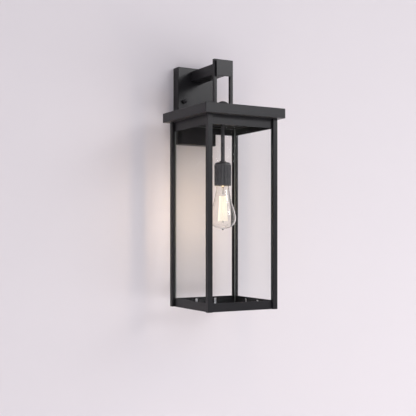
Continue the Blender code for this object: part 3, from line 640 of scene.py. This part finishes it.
def make_envelope():
    """The blown pear, from its neck down to the pinched-off tip, as one closed wall."""
    middle, half = axis_of("bulb_glass")
    tip, width, wall = middle.z - half.z, half.x / ENVELOPE_HALF_WIDTH, ENVELOPE_WALL
    outer = smooth_profile([(r * width, tip + h * MM) for r, h in ENVELOPE_OUTLINE])
    outer[-1] = (0.0, outer[-1][1])
    inner = []
    for before, here, after in zip(outer, outer[1:], outer[2:]):
        along = (Vector(after) - Vector(before)).normalized()
        radius, height = here[0] + along.y * wall, here[1] - along.x * wall
        if here[0] > 4.5 * MM:
            inner.append((radius, height))
    inner.insert(0, (outer[0][0] - wall, outer[0][1]))
    inner.append((0.0, inner[-1][1] - 0.3 * MM))
    mesh = turned([(max(r, 0.0), z) for r, z in outer + inner[::-1]])
    piece("lamp_envelope", raised_on(middle, mesh), LAMP_BODY, ["bulb_glass"], smooth=60)


def make_lamp_base():
    """Rolled nickel sleeve with a real screw thread, black glass insulator and solder dome."""
    middle, half = axis_of("bulb_base")
    low, high = middle.z - half.z, middle.z + half.z
    radius, sheet = half.x, 0.9 * MM
    inside = radius - 0.9 * MM - 0.45 * MM
    outer = smooth_profile([(8.6 * MM, high), (10.6 * MM, high - 0.5 * MM),
                            (12.2 * MM, high - 1.5 * MM)], 4)
    outer += straight((radius, high - 2.4 * MM), (radius, low + 2.6 * MM), 90)
    outer += [(radius, low + 0.8 * MM), (radius - 0.2 * MM, low + 0.2 * MM), (radius - 0.6 * MM, low)]
    inner = [(inside, low + 3.0 * MM), (inside, high - 3.2 * MM), (8.2 * MM, high - 0.9 * MM)]
    sleeve = turned(outer + inner)
    sleeve = threaded(sleeve, FINISHES["nickel_plate"], LAMP_THREAD_PITCH, 0.9 * MM,
                      low + 3.0 * MM, high - 2.4 * MM, inside + sheet / 4)
    piece("lamp_screw_base", raised_on(middle, sleeve), LAMP_BODY, ["bulb_base"])

    middle, half = axis_of("bulb_insulator")
    seat, top = middle.z - half.z + 2.2 * MM, middle.z + half.z
    cone = [(2.3 * MM, top), (4.2 * MM, top)] + smooth_profile([(4.6 * MM, top - 0.2 * MM),
            (6.6 * MM, top - 1.5 * MM), (8.3 * MM, seat)], 5)
    cone += [(8.2 * MM, seat - 0.3 * MM), (5.2 * MM, seat - 2.2 * MM), (2.3 * MM, seat - 2.2 * MM)]
    glass = turned(cone, MEDIUM)
    piece("lamp_base_insulator", raised_on(middle, glass), LAMP_BODY, ["bulb_insulator"])

    middle, half = axis_of("bulb_contact")
    top, low = middle.z + half.z, middle.z - half.z
    dome = smooth_profile([(0, top), (1.4 * MM, top - 0.06 * MM), (2.8 * MM, top - 0.35 * MM),
                           (3.5 * MM, top - 0.75 * MM)], 5)
    dome += [(1.8 * MM, top - 0.8 * MM), (1.8 * MM, low + 0.3 * MM), (1.5 * MM, low), (0, low)]
    button = turned(dome, MEDIUM)
    piece("lamp_solder_contact", raised_on(middle, button), LAMP_BODY, ["bulb_contact"])


def make_lamp_mount():
    """The flared inner stem, pinched flat where the lead wires pass through, and its rod."""
    middle, half = axis_of("bulb_mount")
    top, low = middle.z + half.z, middle.z - half.z
    rod = 1.4 * MM
    outline = [(0, top - 2.0 * MM), (4.6 * MM, top - 0.4 * MM), (7.8 * MM, top),
               (7.4 * MM, top - 1.4 * MM), (5.4 * MM, top - 4.8 * MM), (3.8 * MM, top - 9.0 * MM),
               (3.3 * MM, top - 16.0 * MM), (3.1 * MM, top - 23.0 * MM), (2.0 * MM, top - 26.2 * MM),
               (rod, top - 29.0 * MM),
               (rod, low + 4.2 * MM), (2.1 * MM, low + 3.0 * MM), (2.1 * MM, low + 1.4 * MM), (0, low)]
    profile = smooth_profile(outline, 5)
    profile = [(max(r, 0.0), z) for r, z in profile]
    profile[-1] = (0.0, low)
    mesh = turned(profile, MEDIUM)
    for point in mesh.vertices:
        from_flare = (top - 9 * MM - point.co.z) / (6 * MM)
        from_rod = (point.co.z - top + 27 * MM) / (3 * MM)
        point.co.x *= 1.0 - 0.45 * max(0.0, min(1.0, from_flare, from_rod))
    piece("lamp_inner_stem", raised_on(middle, mesh), LAMP_BODY, ["bulb_mount"], smooth=60)


CAGE_STRANDS = 14
CAGE_OPENING = math.radians(50)
CAGE_WIRE = 0.34 * MM
CAGE_UPPER_RADIUS = 8.0 * MM
CAGE_LOWER_RADIUS = 11.0 * MM
HOOK_WIRE = 0.14 * MM
LEAD_WIRE = 0.3 * MM


def cage_corners():
    """The filament's bends in order, upper and lower, round the lamp's axis."""
    middle, half = axis_of("bulb_filament")
    high, low = middle.z + half.z - 0.4 * MM, middle.z - half.z + 0.4 * MM
    stem = axis_of("bulb_mount")[0]
    corners = []
    for i in range(CAGE_STRANDS):
        angle = CAGE_OPENING / 2 + (FULL_TURN - CAGE_OPENING) * i / (CAGE_STRANDS - 1)
        upper = (CAGE_UPPER_RADIUS, high)
        lower = (CAGE_LOWER_RADIUS, low)
        for radius, z in ((upper, lower) if i % 2 == 0 else (lower, upper)):
            out = radius * Vector((math.cos(angle), math.sin(angle), 0))
            corners.append(Vector((stem.x, stem.y, z)) + out)
    return corners


def rounded(points, radius, steps=4):
    """A route whose corners are turned on short curves."""
    route = [points[0]]
    for before, corner, after in zip(points, points[1:], points[2:]):
        reach = min(radius, (before - corner).length / 2.2, (after - corner).length / 2.2)
        start = corner + (before - corner).normalized() * reach
        end = corner + (after - corner).normalized() * reach
        route += [start.lerp(corner, k / steps).lerp(corner.lerp(end, k / steps), k / steps)
                  for k in range(steps + 1)]
    return route + [points[-1]]


def make_filament():
    """The glowing cage, the hooks that hold its bends and the two wires that feed it."""
    corners = cage_corners()
    strands = wire(rounded(corners, 1.4 * MM), CAGE_WIRE, 8)
    piece("lamp_filament", strands, LAMP_BODY, ["bulb_filament"], smooth=80)

    stem, half = axis_of("bulb_mount")
    rod = 1.3 * MM
    hooks = bmesh.new()
    for first, second in zip(corners[1::2], corners[2::2]):
        bend = (first + second) / 2
        out = Vector((bend.x - stem.x, bend.y - stem.y, 0)).normalized()
        down = bend.z < (corners[0].z + corners[1].z) / 2
        root = Vector((stem.x, stem.y, bend.z + (1.6 * MM if down else 1.0 * MM))) + out * rod
        tip = bend - out * CAGE_WIRE * 2.2
        crook = tip + Vector((0, 0, -0.4 * MM if down else 0.4 * MM))
        hooks.from_mesh(wire([root, root.lerp(tip, 0.6), crook, tip], HOOK_WIRE, 6))
    piece("lamp_filament_hooks", mesh_of(hooks, "hooks"), LAMP_BODY, [], slot="nickel_plate", smooth=80)

    flare = stem.z + half.z
    for end, side, word in ((corners[0], 1, "a"), (corners[-1], -1, "b")):
        route = smooth_profile([
            (stem.x + 1.5 * MM, stem.y + side * 3.4 * MM, flare - 23.4 * MM),
            (stem.x + 3.2 * MM, stem.y + side * 3.6 * MM, flare - 25.5 * MM),
            (stem.x + 5.2 * MM, stem.y + side * 3.4 * MM, (flare - 23 * MM + end.z) / 2),
            (end.x - 0.1 * MM, end.y, end.z + 1.4 * MM),
            (end.x, end.y, end.z + 0.6 * MM)], 6)
        lead = wire(route, LEAD_WIRE, 8)
        piece(f"lamp_lead_wire_{word}", lead, LAMP_BODY, [f"bulb_lead_wire_{word}"], smooth=80)


# ---------------------------------------------------------------- socket and stem

FLUTE_COUNT = 14
FLUTE_PHASE = math.radians(13.7)
FLUTE_DEPTH = 1.65 * MM


def make_socket():
    """Fluted cup, porcelain core and rolled brass shell."""
    middle, half = axis_of("socket_cup")
    low, high, radius = middle.z - half.z, middle.z + half.z, half.x
    shoulder, wall, neck = 8.0 * MM, 2.05 * MM, 8.2 * MM
    collar = 2.6 * MM
    top = high - collar - 0.6 * MM
    outer = arc((neck - 0.6 * MM, high - 0.6 * MM), 0.6 * MM, 90, 0, 4)
    outer += [(neck, high - collar + 0.2 * MM), (neck + 0.3 * MM, high - collar - 0.3 * MM)]
    outer += arc((radius - shoulder, top - shoulder), shoulder, 86, 0, 14)
    outer += straight((radius, top - shoulder - 0.5 * MM), (radius, low + 0.7 * MM), 60)
    outer += arc((radius - 0.6 * MM, low + 0.6 * MM), 0.6 * MM, 0, -90, 4)
    inner = [(radius - wall, low), (radius - wall, low + MM)]
    inner += arc((radius - shoulder, top - shoulder), shoulder - wall, 0, 86, 10)
    inner += [(PIPE_HOLE, high - collar - 2.0 * MM), (PIPE_HOLE, high)]
    mesh = turned(outer + inner, 2 * FINE)
    flutes = {"Count": float(FLUTE_COUNT), "Phase": FLUTE_PHASE, "Depth": FLUTE_DEPTH,
              "Low": low + 0.8 * MM, "High": top - 2.0 * MM, "Least Radius": radius - wall * 0.6}
    # The cup takes the lighter coat with painted light.
    mesh = shaped(mesh, fluted_skirt_tree(SOCKET_COAT_WITH_PAINTED_LIGHT), flutes)
    piece("socket_cup_fluted", raised_on(middle, mesh), HOUSING, ["socket_cup"])

    middle, half = axis_of("socket_core")
    low, high, radius = middle.z - half.z, middle.z + half.z, half.x
    base_low = axis_of("bulb_base")[0].z - axis_of("bulb_base")[1].z + 0.6 * MM
    floor = axis_of("socket_screw_shell")[0].z + axis_of("socket_screw_shell")[1].z + 3.0 * MM
    core = smooth_profile([(9.6 * MM, high), (radius - 1.8 * MM, high - 5.6 * MM),
                           (radius, high - 9.4 * MM)], 5)
    core += arc((radius - 0.5 * MM, low + 0.5 * MM), 0.5 * MM, 0, -90, 4)
    core += arc((17.2 * MM, low + 0.5 * MM), 0.5 * MM, 270, 180, 4)
    core += [(16.65 * MM, base_low - 2.2 * MM), (14.95 * MM, base_low), (14.95 * MM, floor),
             (3.2 * MM, floor), (3.2 * MM, high)]
    mesh = turned(core)
    piece("socket_porcelain", raised_on(middle, mesh), HOUSING, ["socket_core"])

    middle, half = axis_of("socket_screw_shell")
    low, high, radius = middle.z - half.z, middle.z + half.z, half.x
    sheet = 0.45 * MM
    crest = radius - 0.1 * MM
    outer = straight((crest, high), (crest, low), 80)
    inner = straight((crest - sheet, low), (crest - sheet, high), 80)
    shell = threaded(turned(outer + inner), FINISHES["socket_brass"], LAMP_THREAD_PITCH, 0.8 * MM,
                     low + 0.5 * MM, high)
    piece("socket_rolled_shell", raised_on(middle, shell), HOUSING, ["socket_screw_shell"])


def make_stem():
    """Lamp pipe, cut with a fine thread where its nuts and the finial sit."""
    middle, half = axis_of("stem_tube")
    low, high, radius, bore = middle.z - half.z, middle.z + half.z, half.x, PIPE_BORE
    thread_end = axis_of("ceiling_nut_lower")[0].z - 5.0 * MM
    outer = [(bore + 0.4 * MM, high), (radius - 0.5 * MM, high)]
    outer += straight((radius, high - 0.5 * MM), (radius, thread_end), 220)
    outer += [(radius, thread_end), (radius, low + 0.4 * MM), (radius - 0.4 * MM, low)]
    pipe = turned(outer + [(bore, low + 0.2 * MM), (bore, high - 0.2 * MM)], MEDIUM)
    # The pipe takes the lighter coat with painted light.
    mesh = threaded(pipe, SOCKET_COAT_WITH_PAINTED_LIGHT, PIPE_THREAD_PITCH, 0.45 * MM, thread_end + PIPE_THREAD_PITCH,
                    high, bore + MM)
    piece("stem_lamp_pipe", raised_on(middle, mesh), HOUSING, ["stem_tube"])


def make_thin_nuts():
    """Six-sided nuts with their corners turned off on both faces."""
    for node in ("strap_nut", "ceiling_nut_upper", "ceiling_nut_lower"):
        middle, half = axis_of(node)
        across, tall, bore = half.x, 2 * half.z, 5.0 * MM
        form = bmesh.new()
        bmesh.ops.create_cone(form, cap_ends=True, segments=6, radius1=across, radius2=across,
                              depth=tall)
        prism = mesh_of(form, "prism")
        flat = across * math.cos(math.pi / 6)
        lens = turned([(0, tall / 2), (flat - 0.1 * MM, tall / 2), (across, tall / 2 - 0.9 * MM),
                       (across, -tall / 2 + 0.9 * MM), (flat - 0.1 * MM, -tall / 2), (0, -tall / 2)],
                      MEDIUM)
        hole = turned([(0, tall), (bore, tall), (bore, -tall), (0, -tall)], MEDIUM)
        mesh = cut_away(cut_away(prism, lens, "INTERSECT"), hole)
        mesh.transform(Matrix.Translation(middle))
        piece(node + "_chamfered", mesh, HOUSING, [node])


def make_finial():
    """A domed nut with a turned foot and a fine groove."""
    middle, half = axis_of("roof_finial")
    low, high, radius = middle.z - half.z, middle.z + half.z, half.x
    foot, dome, bore = 3.4 * MM, 15.0 * MM, PIPE_HOLE
    profile = []
    for i in range(25):
        angle = QUARTER_TURN * (1 - i / 24)
        profile.append((radius * math.cos(angle) if i else 0.0, high - dome * (1 - math.sin(angle))))
    profile += [(radius, low + foot + 0.5 * MM), (radius - 0.5 * MM, low + foot + 0.2 * MM),
                (radius - 0.5 * MM, low + foot - 0.2 * MM), (radius, low + foot - 0.5 * MM)]
    profile += arc((radius - 0.8 * MM, low + 0.8 * MM), 0.8 * MM, 0, -90, 5)
    profile += [(bore + 0.5 * MM, low), (bore, low + 0.5 * MM), (bore, low + 14 * MM),
                (0, low + 14.6 * MM)]
    mesh = turned(profile)
    piece("roof_finial_dome", raised_on(middle, mesh), HOUSING, ["roof_finial"])


# ---------------------------------------------------------------- wall fastenings

CAP_NUT_OUTLINE = [(0, 8.8), (2.2, 8.52), (4.1, 7.52), (5.2, 5.9), (5.49, 4.3), (5.2, 2.8), (4.5, 1.6),
                   (4.2, 0.9)]  # radius and height in millimetres, from the crown down


def make_cap_nuts():
    """Round knobs on the two studs."""
    for word in ("left", "right"):
        node = f"cap_nut_{word}"
        low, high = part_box(node)
        middle, tall = (low + high) / 2, high.y - low.y
        scale = tall / CAP_NUT_OUTLINE[0][1]
        profile = smooth_profile([(r * MM, h * scale) for r, h in CAP_NUT_OUTLINE], 5)
        profile += [(4.4 * MM, 0.7 * MM), (4.4 * MM, 0.2 * MM), (4.2 * MM, 0), (2.9 * MM, 0),
                    (2.7 * MM, 0.3 * MM), (2.7 * MM, 5.8 * MM), (0, 6.2 * MM)]
        mesh = turned(profile, MEDIUM)
        mesh.transform(Matrix.Translation((middle.x, high.y, middle.z)) @ TO_WALL_FRONT)
        piece(f"cap_nut_{word}_knob", mesh, node, [node])


def cross_recess(reach, depth):
    """The tool that leaves a cross-shaped driver recess."""
    arm = 0.18 * reach
    quarter = [(arm, -reach), (arm, -arm), (reach, -arm)]
    outline = []
    for _ in range(4):
        outline += quarter
        quarter = [(-y, x) for x, y in quarter]
    return extruded(outline, 2 * depth)


def facing_out(mesh, node, seat_y):
    """Turns an upright mesh to point out of the wall, on its node's axis."""
    middle, _ = axis_of(node)
    mesh.transform(Matrix.Translation((middle.x, seat_y, middle.z)) @ TO_WALL_FRONT)
    return mesh


def make_stud(node):
    """A stud threaded over its length, with a flat head that rests inside the pan."""
    low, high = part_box(node)
    long, head, shank = high.y - low.y, 4.2 * MM, 2.4 * MM
    profile = [(0, long), (1.8 * MM, long), (shank, long - 0.6 * MM)]
    profile += straight((shank, long - 0.7 * MM), (shank, 1.4 * MM), 150)
    profile += [(shank, 0.9 * MM), (head - 0.2 * MM, 0.9 * MM), (head, 0.7 * MM), (head, 0.2 * MM),
                (head - 0.2 * MM, 0), (0, 0)]
    mesh = threaded(turned(profile, COARSE), FINISHES["zinc_plate"], 0.8 * MM, 0.4 * MM, 1.4 * MM,
                    long - 0.6 * MM, MM)
    piece(f"{node}_threaded", facing_out(mesh, node, high.y), HOUSING, [node])


def make_arm_screw(node):
    """A screw with a low domed head and a cross recess, driven from inside the pan."""
    low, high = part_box(node)
    long, shank, head, crown = high.y - low.y, 1.9 * MM, 3.8 * MM, 2.6 * MM
    flattened = 0.68
    profile = [(0, long - crown), (1.4 * MM, long - crown), (shank, long - crown - 0.5 * MM)]
    profile += straight((shank, long - crown - 0.6 * MM), (shank, 0.5 * MM), 60)
    profile += [(shank, 0), (head, 0)] + arc((0, 0), head, 0, -90, 8)[1:]
    profile = [(r, max(z * flattened, -crown) if z < 0 else z) for r, z in profile]
    profile[-1] = (0, -crown)
    mesh = threaded(turned(profile, COARSE), FINISHES["zinc_plate"], 0.7 * MM, 0.35 * MM, 0.6 * MM,
                    long - crown, MM)
    recess = cross_recess(2.0 * MM, 1.5 * MM)
    recess.transform(Matrix.Translation((0, 0, -crown)))
    mesh = facing_out(cut_away(mesh, recess), node, high.y - crown)
    piece(f"{node}_cross_head", mesh, HOUSING, [node])


def make_ground_screw():
    """The green screw that holds the bare lead."""
    low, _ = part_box("ground_screw")
    crown, head, shank = 2.6 * MM, 4.0 * MM, 1.9 * MM
    profile = smooth_profile([(0, crown), (1.6 * MM, 2.5 * MM), (3.0 * MM, 2.0 * MM),
                              (3.9 * MM, 0.8 * MM)], 5)
    profile += [(head, 0.3 * MM), (head, 0), (shank, 0)]
    profile += straight((shank, -0.2 * MM), (shank, -2.0 * MM), 12)
    profile += [(1.5 * MM, -2.4 * MM), (0, -2.4 * MM)]
    recess = cross_recess(2.2 * MM, 1.4 * MM)
    recess.transform(Matrix.Translation((0, 0, crown)))
    mesh = facing_out(cut_away(turned(profile, COARSE), recess), "ground_screw", low.y + crown)
    piece("ground_screw_green", mesh, HOUSING, ["ground_screw"])


def make_studs_and_screws():
    """Threaded studs, the two arm screws and the ground screw."""
    for word in ("left", "right"):
        make_stud(f"mounting_stud_{word}")
        make_arm_screw(f"arm_screw_{word}")
    make_ground_screw()


# ---------------------------------------------------------------- glazing

def make_panes():
    """Flat panes with ground edges; the edges have their own paler colour: ground glass, and painted
    light gathered inside the glass.
    """
    for side in ("front", "right", "rear", "left"):
        node = f"glass_pane_{side}"
        low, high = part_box(node)
        size, middle = high - low, (low + high) / 2
        form = bmesh.new()
        bmesh.ops.create_cube(form, size=1.0)
        bmesh.ops.scale(form, vec=size, verts=form.verts)
        mesh = softened(mesh_of(form, "pane"), 0.5 * MM, 2)
        mesh.materials.append(FINISHES["clear_pane_glass"])
        mesh.materials.append(PANE_EDGE)
        thin = min(range(3), key=lambda i: size[i])
        for face in mesh.polygons:
            face.material_index = 0 if abs(face.normal[thin]) > 0.99 else 1
        mesh.transform(Matrix.Translation(middle))
        piece(f"{node}_ground_edges", mesh, HOUSING, [node])


def make_clips():
    """One bent spring clip, copied round the cage."""
    low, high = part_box("glass_clip_front_a")
    cage, _ = axis_of("ceiling_plate")
    width, tall, foot, sheet = high.x - low.x, high.z - low.z, high.y - low.y, 0.8 * MM
    back = low.y - cage.y
    spine = smooth_profile([(back + foot, sheet / 2), (back + foot * 0.6, sheet / 2),
                            (back + foot * 0.3, sheet * 0.6), (back + sheet * 0.6, sheet * 1.8),
                            (back + sheet * 0.5, tall * 0.35),
                            (back + sheet * 0.5, tall * 0.75), (back + sheet * 0.8, tall * 0.88),
                            (back + sheet * 2.0, tall - 0.3 * MM)], 4)
    form = bmesh.new()
    for across in (-width / 2, width / 2):
        for y, z in spine:
            form.verts.new((across, y, z))
    form.verts.ensure_lookup_table()
    count = len(spine)
    for i in range(count - 1):
        form.faces.new([form.verts[k] for k in (i, i + 1, count + i + 1, count + i)])
    bmesh.ops.recalc_face_normals(form, faces=form.faces)
    strip = bpy.data.objects.new("strip", mesh_of(form, "clip"))
    wall = strip.modifiers.new("sheet", "SOLIDIFY")
    wall.thickness = sheet * 0.9
    wall.offset = 0.0
    clip = softened(settled(strip), 0.15 * MM, 2)
    offset = axis_of("glass_clip_front_b")[0].x
    ring = shaped(clip, clip_ring_tree(FINISHES["spring_steel"]), {"Offset": offset})
    ring.transform(Matrix.Translation((cage.x, cage.y, low.z)))
    nodes = [name for name in frame["nodes"] if name.startswith("glass_clip_")]
    piece("glass_clips", ring, HOUSING, sorted(nodes))


# ---------------------------------------------------------------- room, light and camera

def pale_surface(name, shade, one_sided=False):
    """Matt paint with the faintest mottle; one-sided paint cannot be seen from behind."""
    made = Finish(name)
    mottle = made.noise(0.35, 3.0)
    made.colour(made.between(mottle, shade, tuple(c * 0.985 for c in shade)))
    made.roughness(0.75)
    if one_sided:
        behind = made.add("ShaderNodeNewGeometry").outputs["Backfacing"]
        clear = made.add("ShaderNodeBsdfTransparent").outputs[0]
        made.blends(behind, made.shader.outputs[0], clear)
    return made.material


def sheet_of(name, corners, faces, material):
    """A flat part of the room."""
    mesh = bpy.data.meshes.new(name)
    mesh.from_pydata(corners, [], faces)
    mesh.materials.append(material)
    made = bpy.data.objects.new(name, mesh)
    bpy.context.scene.collection.objects.link(made)


WALL_GAP = 0.4 * MM
WALL_REST = 6.0 * MM  # width of the pan's seat around the wiring opening
WALL_TOP = 4.0
ROOM = 6.0
FLOOR_Z = -1.5
WALL_SHADE = (0.80, 0.76, 0.775)
FLOOR_SHADE = (0.78, 0.77, 0.76)
CORNERS = ((-1, -1), (1, -1), (1, 1), (-1, 1))


def make_room():
    """A pale wall seen only from its front, open for wiring behind the pan, and a pale floor."""
    middle, half = axis_of("backplate")
    across, tall = half.x - WALL_REST, half.z - WALL_REST
    wall = [(x * ROOM, WALL_GAP, FLOOR_Z if z < 0 else WALL_TOP) for x, z in CORNERS]
    wall += [(middle.x + x * across, WALL_GAP, middle.z + z * tall) for x, z in CORNERS]
    around = [(i, (i + 1) % 4, (i + 1) % 4 + 4, i + 4) for i in range(4)]
    sheet_of("wall", wall, around, pale_surface("pale_wall", WALL_SHADE, one_sided=True))
    floor = [(x * ROOM, y * ROOM, FLOOR_Z) for x, y in CORNERS]
    sheet_of("floor", floor, [(0, 1, 2, 3)], pale_surface("pale_floor", FLOOR_SHADE))


def soft_light(name, place, aim, size, power, colour, mirrored=True, lighting=True):
    """A broad light that the eye does not see; it may light surfaces, be mirrored in them, or both."""
    lamp = bpy.data.lights.new(name, "AREA")
    lamp.shape = "RECTANGLE"
    lamp.size, lamp.size_y = size
    lamp.energy = power
    lamp.color = colour
    made = bpy.data.objects.new(name, lamp)
    made.location = place
    made.rotation_euler = (Vector(aim) - Vector(place)).to_track_quat("-Z", "Y").to_euler()
    made.visible_camera = made.visible_transmission = False
    made.visible_glossy = mirrored
    made.visible_diffuse = lighting
    bpy.context.scene.collection.objects.link(made)


def make_sky():
    """Overcast sky: dim ground, a darker horizon and a brighter upper half."""
    world = bpy.data.worlds.new("sky")
    bpy.context.scene.world = world
    world.use_nodes = True
    bench = Bench(world.node_tree)
    direction = bench.add("ShaderNodeTexCoord").outputs["Generated"]
    height = bench.axes(direction)[2] * 0.5 + 0.5
    stops = ((0.0, (0.50, 0.485, 0.50)), (0.47, (0.42, 0.405, 0.43)), (0.53, (0.46, 0.45, 0.485)),
             (0.66, (0.66, 0.65, 0.71)), (1.0, (0.72, 0.72, 0.79)))
    shade = bench.add("ShaderNodeValToRGB", {"stops": stops}, {0: height}).outputs[0]
    bench.feed(world.node_tree.nodes["Background"].inputs["Color"], shade)


def make_light():
    """A window from the front right, its sheen, light from the side and the ground, and the lamp."""
    make_sky()
    lantern = (0, -0.15, -0.1)
    soft_light("window", (2.3, -2.9, 1.35), lantern, (2.4, 1.2), 27, (1.0, 0.985, 0.99))
    soft_light("sheen", (1.9, -3.4, 1.3), lantern, (1.6, 0.9), 44, (0.98, 0.98, 1.0), lighting=False)
    soft_light("open_side", (3.4, -1.9, -0.4), (0, -0.15, -0.3), (1.6, 2.6), 9, (1.0, 0.965, 0.95),
               mirrored=False)
    soft_light("ground", (0.5, -1.7, -1.42), (0.1, 0, -0.75), (4.0, 1.4), 30, (1.0, 0.975, 0.99),
               mirrored=False)

    filament, _ = axis_of("bulb_filament")
    glow = bpy.data.lights.new("lamp_glow", "POINT")
    glow.energy = 0.7
    glow.color = (1.0, 0.76, 0.52)
    glow.shadow_soft_size = 12 * MM
    made = bpy.data.objects.new("lamp_glow", glow)
    made.location = filament
    made.visible_camera = made.visible_glossy = made.visible_transmission = False
    bpy.context.scene.collection.objects.link(made)


CAMERA_PLACE = (-0.9942, -1.8305, -0.3227)
CAMERA_TURN = math.radians(-29.62)
CAMERA_LENS = 69.39
CAMERA_RISE = 0.0591


def make_camera():
    """Seen from the left and a little below, with upright lines kept upright."""
    lens = bpy.data.cameras.new("camera")
    lens.lens = CAMERA_LENS
    lens.sensor_width = 36.0
    lens.shift_y = CAMERA_RISE
    made = bpy.data.objects.new("camera", lens)
    made.location = CAMERA_PLACE
    made.rotation_euler = (QUARTER_TURN, 0, CAMERA_TURN)
    bpy.context.scene.collection.objects.link(made)
    bpy.context.scene.camera = made
    bpy.context.scene.view_settings.view_transform = "Standard"


coat_the_frame()
make_envelope()
make_lamp_base()
make_lamp_mount()
make_filament()
make_socket()
make_stem()
make_thin_nuts()
make_finial()
make_cap_nuts()
make_studs_and_screws()
make_panes()
make_clips()
make_room()
make_light()
make_camera()
